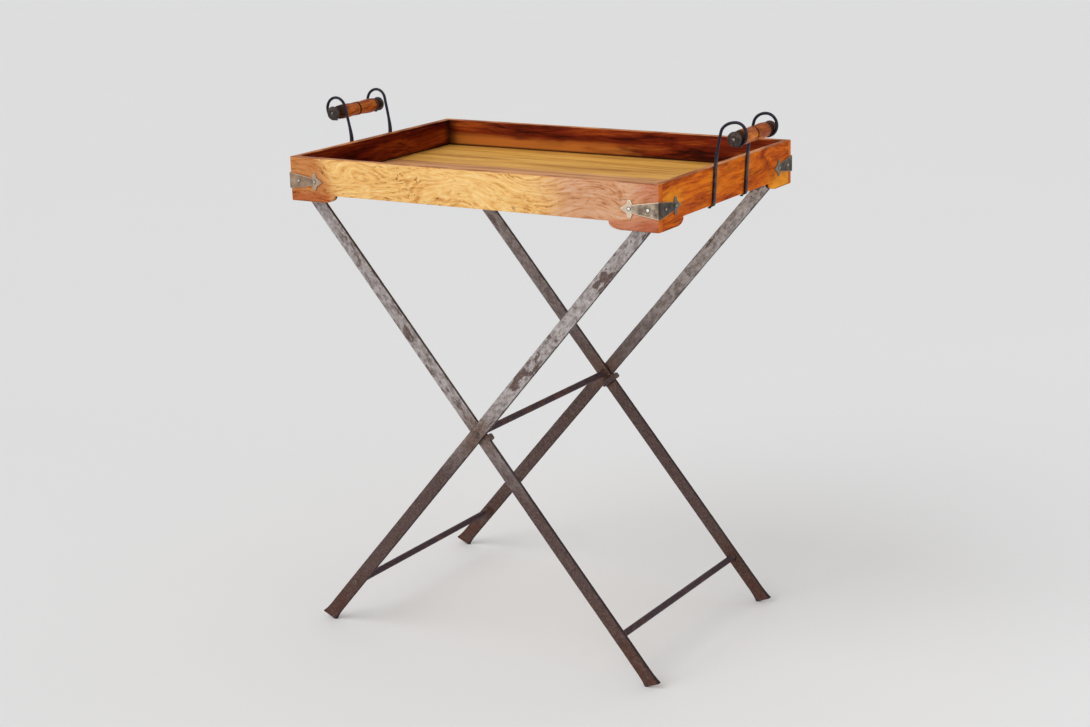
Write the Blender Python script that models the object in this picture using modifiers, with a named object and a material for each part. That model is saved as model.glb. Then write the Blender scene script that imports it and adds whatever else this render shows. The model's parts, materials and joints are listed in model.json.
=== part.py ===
"""Wooden serving tray on a folding iron cross-leg stand.

Frame: +X along the tray's length, +Y to its back, +Z up, origin on the floor under its middle.
Every length is in metres.
"""
import math

import bmesh
import bpy
from mathutils import Matrix, Vector

GAP = 0.0003  # left between pieces that touch

# Tray
TRAY_LENGTH = 0.620
TRAY_WIDTH = 0.415
RIM_HEIGHT = 0.7365
BOARD_HEIGHT = 0.0545
BOARD_THICKNESS = 0.010
BOARD_ROUND = 0.0010
FOOT_DROP = 0.0112  # bracket feet, below the boards' lower edges
FOOT_STEP = 0.0022
FOOT_FLAT_LONG = 0.058
FOOT_CURVE_LONG = 0.020
FOOT_FLAT_SHORT = 0.052
FOOT_CURVE_SHORT = 0.018
PANEL_DEPTH = 0.0415  # from the rim to the top of the floor planks
PLANK_COUNT = 5
PLANK_THICKNESS = 0.009
PLANK_EDGE = 0.0006
GROOVE_DEPTH = 0.004

# Corner straps and their nails
STRAP_SHEET = 0.0015
STRAP_CENTRE_DROP = 0.0355  # centre line, below the rim
STRAP_ARM = 0.0585  # corner to tip
STRAP_NAILS = (0.0160, 0.0450)  # from the corner
NAIL_SHANK = 0.0009
NAIL_LENGTH = 0.0085
NAIL_HEAD = 0.0025
NAIL_DOME = 0.0014
PILOT_RADIUS = 0.0012

# Handles
HANDLE_SPACING = 0.101
HANDLE_SHIFT = {"right": 0.0055, "left": -0.0015}  # handle's middle, off the tray's middle at the rim
HANDLE_LEAN = 0.13  # straps lean this far back per unit of height, below the rim
LOOP_LEAN = {"right": {"front": 0.096, "back": 0.020}, "left": {"front": 0.043, "back": 0.110}}  # and above it
BAR_WIDTH = 0.0075
BAR_THICKNESS = 0.003
ROD_RADIUS = 0.0022
BAR_BEND = 0.003
BAR_FOOT = 0.0088  # length turned under the board
LOOP_OUT = {"right": 0.0305, "left": 0.0300}  # loop's centre, out from the board's face and up from the rim
LOOP_UP = {"right": 0.0444, "left": 0.0482}
LOOP_RADIUS = {"right": 0.0165, "left": 0.0170}
LOOP_START = 166  # degrees, measured from outwards
LOOP_END = -99
SCREW_INSET = 0.0045
SCREW_HEAD = 0.0026
SCREW_SHANK = 0.0011
SCREW_LENGTH = 0.0125

# Turned grips
GRIP_PLACE = {"right": (0.0330, 0.0071, 0.0393), "left": (0.0305, 0.0009, 0.0418)}  # out, along, up
GRIP_NECK = 0.0079
GRIP_NECK_MIDDLE = {"right": 0.0494, "left": 0.0515}  # from the grip's middle
GRIP_NECK_HALF = 0.0035
GRIP_CAP_LENGTH = 0.0056

# Stand
LEG_WIDTH = 0.021
LEG_THICKNESS = 0.005
LEG_ROUND = 0.004
LEG_BEARING = 0.010  # level facet ground on the end that bears, at the floor and under the tray
LEG_EDGE = 0.0005
OUTER_LEG_ANGLE = math.radians(40.8)  # from upright
INNER_LEG_ANGLE = math.radians(40.0)
OUTER_LEG_FACE = 0.1915  # outer face of the outer legs
PIVOT_X = -0.0065
PIVOT_HEIGHT = 0.343
CROSS_BAR_RADIUS = 0.005
TENON_RADIUS = 0.0035
TENON_HOLE = 0.0038
RIVET_HEAD = 0.0058
RIVET_DOME = 0.0026
OUTER_BAR_HEIGHT = 0.069
INNER_BAR_HEIGHT = 0.068
STOP_BAR = 0.011  # the bent stops' width and thickness
STOP_THICKNESS = 0.005
STOP_TAIL = 0.012

HALF_LENGTH = TRAY_LENGTH / 2
HALF_WIDTH = TRAY_WIDTH / 2
INNER_X = HALF_LENGTH - BOARD_THICKNESS
INNER_Y = HALF_WIDTH - BOARD_THICKNESS
LEG_TOP = RIM_HEIGHT - PANEL_DEPTH - PLANK_THICKNESS - GAP
OUTER_LEG_INNER_FACE = OUTER_LEG_FACE - LEG_THICKNESS
INNER_LEG_FACE = OUTER_LEG_INNER_FACE - GAP
INNER_LEG_INNER_FACE = INNER_LEG_FACE - LEG_THICKNESS

FINISHES = {
    "golden_wood": ((0.62, 0.33, 0.10), 0.38, 0.0),
    "red_wood": ((0.50, 0.17, 0.04), 0.36, 0.0),
    "ochre_wood": ((0.52, 0.30, 0.08), 0.45, 0.0),
    "pink_wood": ((0.42, 0.22, 0.12), 0.45, 0.0),
    "turned_wood": ((0.36, 0.12, 0.03), 0.40, 0.0),
    "burnt_wood": ((0.05, 0.03, 0.02), 0.55, 0.0),
    "aged_bronze": ((0.32, 0.28, 0.19), 0.42, 0.9),
    "bright_nail": ((0.62, 0.56, 0.44), 0.25, 1.0),
    "forged_iron": ((0.03, 0.025, 0.035), 0.45, 0.8),
    "worn_iron": ((0.16, 0.13, 0.11), 0.55, 0.7),
    "rusty_iron": ((0.07, 0.045, 0.04), 0.65, 0.5),
}

for leftover in list(bpy.data.objects):
    bpy.data.objects.remove(leftover, do_unlink=True)

parts = bpy.data.collections.new("tray_table")
cutters = bpy.data.collections.new("cutters")
for collection in (parts, cutters):
    bpy.context.scene.collection.children.link(collection)


def make_material(name):
    colour, roughness, metallic = FINISHES[name]
    material = bpy.data.materials.new(name)
    material.use_nodes = True
    shader = material.node_tree.nodes["Principled BSDF"]
    shader.inputs["Base Color"].default_value = (*colour, 1.0)
    shader.inputs["Roughness"].default_value = roughness
    shader.inputs["Metallic"].default_value = metallic
    return material


materials = {name: make_material(name) for name in FINISHES}


def make_empty(name, place):
    empty = bpy.data.objects.new(name, None)
    empty.location = place
    parts.objects.link(empty)
    return empty


def add_part(name, mesh, finish, place=None, body=None):
    """One named sub-part: its mesh, its placement in the world and the empty of the body it moves with."""
    obj = bpy.data.objects.new(name, mesh)
    obj.data.materials.clear()
    obj.data.materials.append(materials[finish])
    parts.objects.link(obj)
    if body:
        obj.parent = body
        obj.matrix_parent_inverse = Matrix.Translation(body.location).inverted()
    obj.matrix_basis = place or Matrix.Identity(4)
    return obj


def add_bevel(obj, width, segments=1):
    bevel = obj.modifiers.new("rounded edges", "BEVEL")
    bevel.width = width
    bevel.segments = segments
    bevel.limit_method = "ANGLE"
    bevel.angle_limit = math.radians(40)


def mesh_from(bm, name):
    mesh = bpy.data.meshes.new(name)
    bm.to_mesh(mesh)
    bm.free()
    return mesh


def flat_mesh(name, outline, thickness):
    """Flat outline in the XY plane, its thickness centred on Z = 0."""
    curve = bpy.data.curves.new(name, "CURVE")
    curve.dimensions = "2D"
    curve.fill_mode = "BOTH"
    curve.extrude = thickness / 2
    spline = curve.splines.new("POLY")
    spline.points.add(len(outline) - 1)
    for point, (x, y) in zip(spline.points, outline):
        point.co = (x, y, 0, 1)
    spline.use_cyclic_u = True
    guide = bpy.data.objects.new(name + "_outline", curve)
    parts.objects.link(guide)
    evaluated = guide.evaluated_get(bpy.context.evaluated_depsgraph_get())
    filled = bpy.data.meshes.new_from_object(evaluated)
    bpy.data.objects.remove(guide, do_unlink=True)
    bm = bmesh.new()
    bm.from_mesh(filled)
    bmesh.ops.remove_doubles(bm, verts=bm.verts, dist=1e-6)
    bmesh.ops.dissolve_limit(bm, angle_limit=math.radians(0.5), verts=bm.verts, edges=bm.edges)
    bmesh.ops.recalc_face_normals(bm, faces=bm.faces)
    return mesh_from(bm, name)


def box_mesh(name, low, high):
    bm = bmesh.new()
    middle = (Vector(low) + Vector(high)) / 2
    size = Vector(high) - Vector(low)
    place = Matrix.Translation(middle) @ Matrix.Diagonal((*size, 1.0))
    bmesh.ops.create_cube(bm, size=1.0, matrix=place)
    return mesh_from(bm, name)


def turned_mesh(name, profile):
    """Open edge chain of (radius, height) points, for a Screw modifier to turn about Z."""
    bm = bmesh.new()
    points = [bm.verts.new((radius, 0, height)) for radius, height in profile]
    for first, second in zip(points, points[1:]):
        bm.edges.new((first, second))
    return mesh_from(bm, name)


def add_turned(name, mesh, finish, place, body=None, steps=16):
    obj = add_part(name, mesh, finish, place, body)
    screw = obj.modifiers.new("turned", "SCREW")
    screw.axis = "Z"
    screw.steps = steps
    screw.render_steps = steps
    screw.use_merge_vertices = True
    screw.merge_threshold = 0.00001
    screw.use_smooth_shade = True
    return obj


def dome(radius, height, base, steps=3):
    """Profile of a domed head, from its pole down to its rim at the given base height."""
    turns = [math.radians(90 * step / steps) for step in range(steps + 1)]
    return [(radius * math.sin(turn), base + height * math.cos(turn)) for turn in turns]


def round_corners(corners, radius, steps=3):
    """Outline with each corner replaced by an arc of the given radius."""
    rounded = []
    for index, corner in enumerate(corners):
        here = Vector(corner)
        before = (Vector(corners[index - 1]) - here).normalized()
        after = (Vector(corners[(index + 1) % len(corners)]) - here).normalized()
        half_angle = before.angle(after) / 2
        centre = here + (before + after).normalized() * (radius / math.sin(half_angle))
        start = here + before * (radius / math.tan(half_angle)) - centre
        end = here + after * (radius / math.tan(half_angle)) - centre
        turn = start.angle_signed(end)  # signed, so an outline may run either way round
        for step in range(steps + 1):
            swing = Matrix.Rotation(-turn * step / steps, 2)
            rounded.append(tuple(centre + swing @ start))
    return rounded


def add_cutter(name, mesh, place=None):
    cutter = bpy.data.objects.new(name, mesh)
    cutter.matrix_world = place or Matrix.Identity(4)
    cutter.hide_render = True
    cutter.display_type = "WIRE"
    cutters.objects.link(cutter)
    return cutter


def add_drill(name, radius, length, place, sides=10):
    """Cylinder cutter, centred on the placement's origin and lying along its Z."""
    bm = bmesh.new()
    bmesh.ops.create_cone(bm, cap_ends=True, segments=sides, radius1=radius, radius2=radius, depth=length)
    return add_cutter(name, mesh_from(bm, name), place)


def cut(obj, *tools):
    for tool in tools:
        boolean = obj.modifiers.new(tool.name, "BOOLEAN")
        boolean.operation = "DIFFERENCE"
        boolean.solver = "EXACT"
        boolean.object = tool


def frame_at(origin, x_axis, y_axis, z_axis):
    """Placement whose own X, Y and Z point along the three given directions."""
    turn = Matrix((x_axis, y_axis, z_axis)).transposed().to_4x4()
    return Matrix.Translation(origin) @ turn


def facing(origin, direction):
    """Placement at the origin given, with its Z along the direction."""
    turn = Vector((0, 0, 1)).rotation_difference(Vector(direction))
    return Matrix.Translation(origin) @ turn.to_matrix().to_4x4()


def upright_in_xz(origin):
    return frame_at(origin, (1, 0, 0), (0, 0, 1), (0, -1, 0))


def upright_in_yz(origin):
    return frame_at(origin, (0, 1, 0), (0, 0, 1), (1, 0, 0))


# --- Tray boards ---------------------------------------------------------------------------------

def board_outline(half_length, foot_flat, foot_curve, steps=6):
    """Straight rim and a bracket foot at each end, measured from the middle of the rim."""
    step_height = -BOARD_HEIGHT - FOOT_STEP
    curve_start = half_length - foot_flat
    foot = [(half_length, 0), (half_length, -BOARD_HEIGHT - FOOT_DROP)]
    for step in range(steps + 1):
        turn = math.radians(90 * step / steps)
        along = curve_start - foot_curve * math.sin(turn)
        down = step_height - (FOOT_DROP - FOOT_STEP) * math.cos(turn)
        foot.append((along, down))
    foot.append((curve_start - foot_curve, -BOARD_HEIGHT))
    return foot + [(-x, z) for x, z in reversed(foot)]


def make_boards(tray, nail_pilots, screw_pilots):
    groove_top = RIM_HEIGHT - PANEL_DEPTH + GAP
    groove_bottom = groove_top - PLANK_THICKNESS - 2 * GAP
    groove_x = INNER_X + GROOVE_DEPTH
    groove_y = INNER_Y + GROOVE_DEPTH
    groove_low = (-groove_x, -groove_y, groove_bottom)
    groove = add_cutter("panel_groove", box_mesh("panel_groove", groove_low, (groove_x, groove_y, groove_top)))
    long_outline = board_outline(HALF_LENGTH, FOOT_FLAT_LONG, FOOT_CURVE_LONG)
    long_board = flat_mesh("long_board", long_outline, BOARD_THICKNESS)
    long_middle = HALF_WIDTH - BOARD_THICKNESS / 2
    short_flat = FOOT_FLAT_SHORT - BOARD_THICKNESS - GAP
    short_outline = board_outline(INNER_Y - GAP, short_flat, FOOT_CURVE_SHORT)
    short_board = flat_mesh("short_board", short_outline, BOARD_THICKNESS)
    short_middle = HALF_LENGTH - BOARD_THICKNESS / 2
    boards = (
        ("front_board", long_board, "golden_wood", upright_in_xz((0, -long_middle, RIM_HEIGHT))),
        ("back_board", long_board, "golden_wood", upright_in_xz((0, long_middle, RIM_HEIGHT))),
        ("right_board", short_board, "red_wood", upright_in_yz((short_middle, 0, RIM_HEIGHT))),
        ("left_board", short_board, "red_wood", upright_in_yz((-short_middle, 0, RIM_HEIGHT))),
    )
    for name, mesh, finish, place in boards:
        board = add_part(name, mesh, finish, place, tray)
        add_bevel(board, BOARD_ROUND)
        cut(board, groove, *nail_pilots[name], *screw_pilots.get(name, []))


def make_planks(tray):
    half_x = INNER_X + GROOVE_DEPTH - GAP
    half_y = INNER_Y + GROOVE_DEPTH - GAP
    pitch = (2 * half_y + GAP) / PLANK_COUNT
    top = RIM_HEIGHT - PANEL_DEPTH
    for index in range(PLANK_COUNT):
        front = -half_y + index * pitch
        finish = "pink_wood" if index == 2 else "ochre_wood"
        name = "floor_plank_%d" % (index + 1)
        low = (-half_x, front, top - PLANK_THICKNESS)
        plank = add_part(name, box_mesh(name, low, (half_x, front + pitch - GAP, top)), finish, body=tray)
        add_bevel(plank, PLANK_EDGE)


# --- Corner straps -------------------------------------------------------------------------------

def strap_arm():
    """Upper edge of one arm as (distance from the corner, half height), corner to tip."""
    waist = [(0.0, 0.0120), (0.020, 0.0090), (0.0395, 0.0059)]
    undercut = [(0.0413, 0.0062), (0.0411, 0.0090)]
    lobe_centre = Vector((0.0448, 0.0093))
    lobe = []
    for angle in (165, 130, 95, 60, 25, -10):
        turn = math.radians(angle)
        lobe.append(tuple(lobe_centre + 0.0032 * Vector((math.cos(turn), math.sin(turn)))))
    return waist + undercut + lobe + [(0.0497, 0.0061)]


def corner_strap_mesh():
    """Sheet cut flat with an arrow at each end, then folded round the tray's corner."""
    inner_radius = BOARD_ROUND + GAP
    fold = inner_radius * math.pi / 4  # half the folded length
    slack = BOARD_ROUND - fold  # flat distance from the fold's middle, less distance from the corner
    upper = [(distance - slack, height) for distance, height in strap_arm()[1:]]
    half = [(0.0, strap_arm()[0][1])] + upper + [(STRAP_ARM - slack, 0.0)]
    right = half + [(x, -z) for x, z in reversed(half[:-1])]
    left = [(-x, z) for x, z in reversed(right[1:-1])]
    bm = bmesh.new()
    bm.from_mesh(flat_mesh("corner_strap", right + left, STRAP_SHEET))
    for place in (-fold, -fold / 2, 0.0, fold / 2, fold):
        geometry = bm.verts[:] + bm.edges[:] + bm.faces[:]
        bmesh.ops.bisect_plane(bm, geom=geometry, plane_co=(place, 0, 0), plane_no=(1, 0, 0), dist=1e-7)
    for vert in bm.verts:
        along, up, across = vert.co
        radius = inner_radius + STRAP_SHEET / 2 - across
        if abs(along) <= fold + 1e-7:
            turn = math.radians(-45 + 45 * along / fold)
            vert.co = (radius * math.cos(turn), radius * math.sin(turn), up)
        elif along < 0:
            vert.co = (along + fold, -radius, up)
        else:
            vert.co = (radius, along - fold, up)
    bmesh.ops.recalc_face_normals(bm, faces=bm.faces)
    return mesh_from(bm, "corner_strap")


def nail_mesh():
    point = 0.0015
    shank_end = -NAIL_LENGTH + point
    profile = dome(NAIL_HEAD, NAIL_DOME, GAP)
    profile += [(NAIL_SHANK, GAP), (NAIL_SHANK, shank_end), (0, -NAIL_LENGTH)]
    return turned_mesh("dome_nail", profile)


def make_corner_straps(tray):
    """Straps and nails; returns each board's pilot holes."""
    mesh = corner_strap_mesh()
    nail = nail_mesh()
    corners = (
        ("front_right", 1, -1, "front_board", "right_board"),
        ("back_right", 1, 1, "right_board", "back_board"),
        ("back_left", -1, 1, "back_board", "left_board"),
        ("front_left", -1, -1, "left_board", "front_board"),
    )
    pilots = {}
    height = RIM_HEIGHT - STRAP_CENTRE_DROP
    face = BOARD_ROUND + GAP + STRAP_SHEET
    for index, (corner, side_x, side_y, first_board, second_board) in enumerate(corners):
        centre = Vector((side_x * (HALF_LENGTH - BOARD_ROUND), side_y * (HALF_WIDTH - BOARD_ROUND), height))
        turn = Matrix.Rotation(math.radians(90 * index), 4, "Z")
        place = Matrix.Translation(centre) @ turn
        strap = add_part("corner_strap_" + corner, mesh.copy(), "aged_bronze", place, tray)
        for arm, board in ((1, first_board), (2, second_board)):
            for number, distance in enumerate(STRAP_NAILS, start=1):
                reach = distance - BOARD_ROUND
                spot = Vector((-reach, -face, 0)) if arm == 1 else Vector((face, reach, 0))
                outward = Vector((0, -1, 0)) if arm == 1 else Vector((1, 0, 0))
                nail_place = facing(place @ spot, turn.to_3x3() @ outward)
                name = "strap_nail_%s_%d%s" % (corner, arm, "ab"[number - 1])
                add_turned(name, nail, "bright_nail", nail_place, tray, steps=10)
                pilot = add_drill(name + "_pilot", PILOT_RADIUS, 2 * (NAIL_LENGTH + GAP), nail_place)
                pilots.setdefault(board, []).append(pilot)
                cut(strap, pilot)
    return pilots


# --- Handles -------------------------------------------------------------------------------------

def handle_path(side_name):
    """Strap's centre line as (out from the board, up from the rim, share of the way from bar to rod)."""
    bar_out = GAP + BAR_THICKNESS / 2
    foot_up = -BOARD_HEIGHT - GAP - BAR_THICKNESS / 2
    path = [(bar_out - BAR_FOOT, foot_up, 0.0)]
    for angle in (-90, -60, -30, 0):
        turn = math.radians(angle)
        out = bar_out + BAR_BEND * (math.cos(turn) - 1)
        up = foot_up + BAR_BEND * (math.sin(turn) + 1)
        path.append((out, up, 0.0))
    path.append((bar_out, -0.002, 0.0))
    turn = math.radians(LOOP_START)
    loop_out = LOOP_OUT[side_name]
    loop_up = LOOP_UP[side_name]
    radius = LOOP_RADIUS[side_name]
    start = Vector((bar_out, 0.002))
    end = Vector((loop_out + radius * math.cos(turn), loop_up + radius * math.sin(turn)))
    leave = Vector((0.0, 0.035))
    arrive = Vector((math.sin(turn), -math.cos(turn))) * 0.035
    rise_steps = 7
    for step in range(rise_steps):
        t = step / rise_steps
        ends = (2 * t**3 - 3 * t**2 + 1) * start + (3 * t**2 - 2 * t**3) * end
        slopes = (t**3 - 2 * t**2 + t) * leave + (t**3 - t**2) * arrive
        point = ends + slopes
        path.append((point.x, point.y, min(1.0, 2.5 * t)))
    loop_steps = 16
    for step in range(loop_steps + 1):
        turn = math.radians(LOOP_START + (LOOP_END - LOOP_START) * step / loop_steps)
        out = loop_out + radius * math.cos(turn)
        up = loop_up + radius * math.sin(turn)
        path.append((out, up, 1.0))
    return path


def bar_section(share):
    """Eight points (across, through): a flat bar with small chamfers at 0, a round rod at 1."""
    half_width = BAR_WIDTH / 2 + share * (ROD_RADIUS - BAR_WIDTH / 2)
    half_depth = BAR_THICKNESS / 2 + share * (ROD_RADIUS - BAR_THICKNESS / 2)
    chamfer = 0.0006 + share * (ROD_RADIUS * 0.586 - 0.0006)
    quarter = [(half_width, half_depth - chamfer), (half_width - chamfer, half_depth)]
    half = quarter + [(-x, z) for x, z in reversed(quarter)]
    return half + [(-x, -z) for x, z in half]


def handle_strap_mesh(name, side_name, end_name, rim_y):
    """Loft along the handle's path from a flat bar on the board to a round rod in a loop."""
    path = handle_path(side_name)
    side = 1 if side_name == "right" else -1
    centres = []
    for out, up, share in path:
        lean = LOOP_LEAN[side_name][end_name] if up > 0 else HANDLE_LEAN
        centres.append(Vector((side * (HALF_LENGTH + out), rim_y + lean * up, RIM_HEIGHT + up)))
    bm = bmesh.new()
    rings = []
    for index, centre in enumerate(centres):
        before = centres[max(index - 1, 0)]
        after = centres[min(index + 1, len(centres) - 1)]
        along = (after - before).normalized()
        across = (Vector((0, 1, 0)) - along * along.y).normalized()
        through = along.cross(across)
        section = bar_section(path[index][2])
        rings.append([bm.verts.new(centre + across * a + through * b) for a, b in section])
    for ring, following in zip(rings, rings[1:]):
        for index in range(len(ring)):
            beside = (index + 1) % len(ring)
            bm.faces.new((ring[index], ring[beside], following[beside], following[index]))
    bm.faces.new(rings[0])
    bm.faces.new(rings[-1])
    bmesh.ops.recalc_face_normals(bm, faces=bm.faces)
    mesh = mesh_from(bm, name)
    mesh.shade_smooth()
    mesh.set_sharp_from_angle(angle=math.radians(50))
    return mesh


def make_handle_straps(tray):
    """Two straps a side with their screws; returns each short board's screw pilots."""
    foot_bottom = -BOARD_HEIGHT - GAP - BAR_THICKNESS
    profile = [(0, SCREW_HEAD * 0.4), (SCREW_HEAD * 0.7, SCREW_HEAD * 0.35), (SCREW_HEAD, 0)]
    profile = [(radius, height + GAP) for radius, height in profile]
    profile += [(SCREW_SHANK, GAP), (SCREW_SHANK, 0.002 - SCREW_LENGTH), (0, -SCREW_LENGTH)]
    screw = turned_mesh("strap_screw", profile)
    pilots = {}
    for side_name, side in (("right", 1), ("left", -1)):
        for end_name, end in (("front", -1), ("back", 1)):
            rim_y = HANDLE_SHIFT[side_name] + end * HANDLE_SPACING / 2
            name = "handle_strap_%s_%s" % (side_name, end_name)
            strap = add_part(name, handle_strap_mesh(name, side_name, end_name, rim_y), "forged_iron", body=tray)
            spot = Vector((
                side * (HALF_LENGTH - SCREW_INSET),
                rim_y + HANDLE_LEAN * foot_bottom,
                RIM_HEIGHT + foot_bottom,
            ))
            place = facing(spot, (0, 0, -1))
            screw_name = "strap_screw_%s_%s" % (side_name, end_name)
            add_turned(screw_name, screw, "forged_iron", place, tray, steps=10)
            pilot = add_drill(screw_name + "_pilot", SCREW_SHANK + GAP, 2 * (SCREW_LENGTH + GAP), place)
            pilots.setdefault(side_name + "_board", []).append(pilot)
            cut(strap, pilot)
    return pilots


def grip_profile(side_name):
    """Half of the grip's outer shape as (distance from its middle, radius), middle to end."""
    neck_start = GRIP_NECK_MIDDLE[side_name] - GRIP_NECK_HALF
    neck_end = GRIP_NECK_MIDDLE[side_name] + GRIP_NECK_HALF
    swelling = [(0.0, 0.0088), (0.026, 0.0088), (0.048, 0.0102), (0.131, 0.0100), (0.284, 0.0101)]
    swelling += [(0.459, 0.0108), (0.633, 0.0111), (0.808, 0.0108), (0.928, 0.0101), (0.983, 0.0092)]
    placed = [(share * neck_start, radius) for share, radius in swelling]
    return placed + [(neck_start, GRIP_NECK), (neck_end, GRIP_NECK)]


def make_grip(side_name, body):
    """A turned grip with a cap pinned to each end by a nail."""
    pin_hole = PILOT_RADIUS
    body_end = GRIP_NECK_MIDDLE[side_name] + GRIP_NECK_HALF
    hole_bottom = body_end - 0.011
    end = [(0, hole_bottom), (pin_hole, hole_bottom), (pin_hole, body_end)]
    half = [(radius, distance) for distance, radius in reversed(grip_profile(side_name))]
    upper = end + half
    body_mesh = turned_mesh("grip_body", upper + [(radius, -height) for radius, height in reversed(upper[:-1])])
    low = body_end + GAP
    high = low + GRIP_CAP_LENGTH
    cap_profile = [(pin_hole, high), (0.0088, high), (0.0104, high - 0.0012), (0.0108, high - 0.0028)]
    cap_profile += [(0.0103, low + 0.0011), (0.0090, low), (pin_hole, low), (pin_hole, high)]
    cap_mesh = turned_mesh("grip_cap", cap_profile)
    nail_profile = dome(0.0022, 0.0011, high + GAP)
    nail_profile += [(NAIL_SHANK, high + GAP), (NAIL_SHANK, hole_bottom + 0.0025), (0, hole_bottom + 0.001)]
    nail = turned_mesh("cap_nail", nail_profile)
    middle = body.location
    add_turned("grip_" + side_name, body_mesh, "turned_wood", facing(middle, (0, 1, 0)), body, steps=20)
    for end_name, direction in (("front", -1), ("back", 1)):
        place = facing(middle, (0, direction, 0))
        label = "%s_%s" % (side_name, end_name)
        add_turned("grip_cap_" + label, cap_mesh, "burnt_wood", place, body, steps=16)
        add_turned("cap_nail_" + label, nail, "bright_nail", place, body, steps=10)


# --- Stand ---------------------------------------------------------------------------------------

def leg_outline(lean, angle):
    """Bar cut square at both ends, each end's bearing corner ground level; lean is 1 with its top to +X."""
    half = LEG_WIDTH / 2
    ground = half - LEG_BEARING * math.cos(angle)
    foot = (PIVOT_HEIGHT - ground * math.sin(angle)) / math.cos(angle)
    top = (LEG_TOP - PIVOT_HEIGHT - ground * math.sin(angle)) / math.cos(angle)
    worn = LEG_BEARING * math.sin(angle)
    corners = [
        (-foot, ground),
        (worn - foot, half),
        (top, half),
        (top, -ground),
        (top - worn, -half),
        (-foot, -half),
    ]
    along = Vector((lean * math.sin(angle), math.cos(angle)))
    across = Vector((lean * math.cos(angle), -math.sin(angle)))
    pivot = Vector((PIVOT_X, PIVOT_HEIGHT))
    placed = [tuple(pivot + along * a + across * b) for a, b in corners]
    return round_corners(placed, LEG_ROUND)


def low_bar_place(lean, angle, height):
    return Vector((PIVOT_X - lean * math.tan(angle) * (PIVOT_HEIGHT - height), 0, height))


def make_legs(outer_frame, inner_frame):
    across = (0, 1, 0)
    pivot = Vector((PIVOT_X, 0, PIVOT_HEIGHT))
    pivot_drill = add_drill("pivot_drill", TENON_HOLE, TRAY_WIDTH, facing(pivot, across), sides=16)
    low_bar = low_bar_place(1, OUTER_LEG_ANGLE, OUTER_BAR_HEIGHT)
    low_drill = add_drill("low_bar_drill", TENON_HOLE, TRAY_WIDTH, facing(low_bar, across), sides=16)
    outer_mesh = flat_mesh("outer_leg", leg_outline(1, OUTER_LEG_ANGLE), LEG_THICKNESS)
    inner_mesh = flat_mesh("inner_leg", leg_outline(-1, INNER_LEG_ANGLE), LEG_THICKNESS)
    for end_name, end in (("front", -1), ("back", 1)):
        outer_y = end * (OUTER_LEG_FACE - LEG_THICKNESS / 2)
        inner_y = end * (INNER_LEG_FACE - LEG_THICKNESS / 2)
        outer_place = upright_in_xz((0, outer_y, 0))
        inner_place = upright_in_xz((0, inner_y, 0))
        outer = add_part("outer_leg_" + end_name, outer_mesh, "worn_iron", outer_place, outer_frame)
        inner = add_part("inner_leg_" + end_name, inner_mesh, "worn_iron", inner_place, inner_frame)
        for leg in (outer, inner):
            add_bevel(leg, LEG_EDGE)
            cut(leg, pivot_drill)
        cut(outer, low_drill)


def riveted_bar_profile(shoulder):
    """Round bar with a thinner tenon and a peened head at each end, from one pole to the other."""
    face = OUTER_LEG_FACE + GAP
    half = dome(RIVET_HEAD, RIVET_DOME, face)
    half += [(TENON_RADIUS, face), (TENON_RADIUS, shoulder), (CROSS_BAR_RADIUS, shoulder)]
    return half + [(radius, -height) for radius, height in reversed(half)]


def make_cross_bars(outer_frame, inner_frame):
    across = (0, 1, 0)
    pivot_mesh = turned_mesh("pivot_bar", riveted_bar_profile(INNER_LEG_INNER_FACE - GAP))
    add_turned("pivot_bar", pivot_mesh, "rusty_iron", facing((PIVOT_X, 0, PIVOT_HEIGHT), across), inner_frame)
    outer_mesh = turned_mesh("low_bar_outer", riveted_bar_profile(OUTER_LEG_INNER_FACE - GAP))
    outer_place = facing(low_bar_place(1, OUTER_LEG_ANGLE, OUTER_BAR_HEIGHT), across)
    add_turned("low_bar_outer", outer_mesh, "rusty_iron", outer_place, outer_frame)
    end = INNER_LEG_INNER_FACE - GAP
    inner_profile = [(0, end), (CROSS_BAR_RADIUS, end), (CROSS_BAR_RADIUS, -end), (0, -end)]
    inner_mesh = turned_mesh("low_bar_inner", inner_profile)
    inner_place = facing(low_bar_place(-1, INNER_LEG_ANGLE, INNER_BAR_HEIGHT), across)
    add_turned("low_bar_inner", inner_mesh, "rusty_iron", inner_place, inner_frame)


def make_stops(inner_frame):
    """Bent stops on the inner legs, turned out over their edges so that the outer legs come to rest on them."""
    edge = LEG_WIDTH / 2 + GAP
    below_pivot = edge * math.tan((OUTER_LEG_ANGLE + INNER_LEG_ANGLE) / 2) + STOP_BAR / 2
    inside = INNER_LEG_INNER_FACE - GAP
    outside = OUTER_LEG_FACE + 0.001
    outline = [
        (-STOP_TAIL, -inside),
        (-STOP_TAIL, STOP_THICKNESS - inside),
        (edge + STOP_THICKNESS, STOP_THICKNESS - inside),
        (edge + STOP_THICKNESS, -outside),
        (edge, -outside),
        (edge, -inside),
    ]
    down_leg = Vector((math.sin(INNER_LEG_ANGLE), 0, -math.cos(INNER_LEG_ANGLE)))
    off_leg = Vector((math.cos(INNER_LEG_ANGLE), 0, math.sin(INNER_LEG_ANGLE)))
    middle = Vector((PIVOT_X, 0, PIVOT_HEIGHT)) + down_leg * below_pivot
    place = frame_at(middle, off_leg, (0, 1, 0), -down_leg)
    for end_name, end in (("front", 1), ("back", -1)):
        mesh = flat_mesh("stop_" + end_name, [(x, end * y) for x, y in outline], STOP_BAR)
        stop = add_part("stop_" + end_name, mesh, "rusty_iron", place, inner_frame)
        add_bevel(stop, LEG_EDGE)


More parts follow.
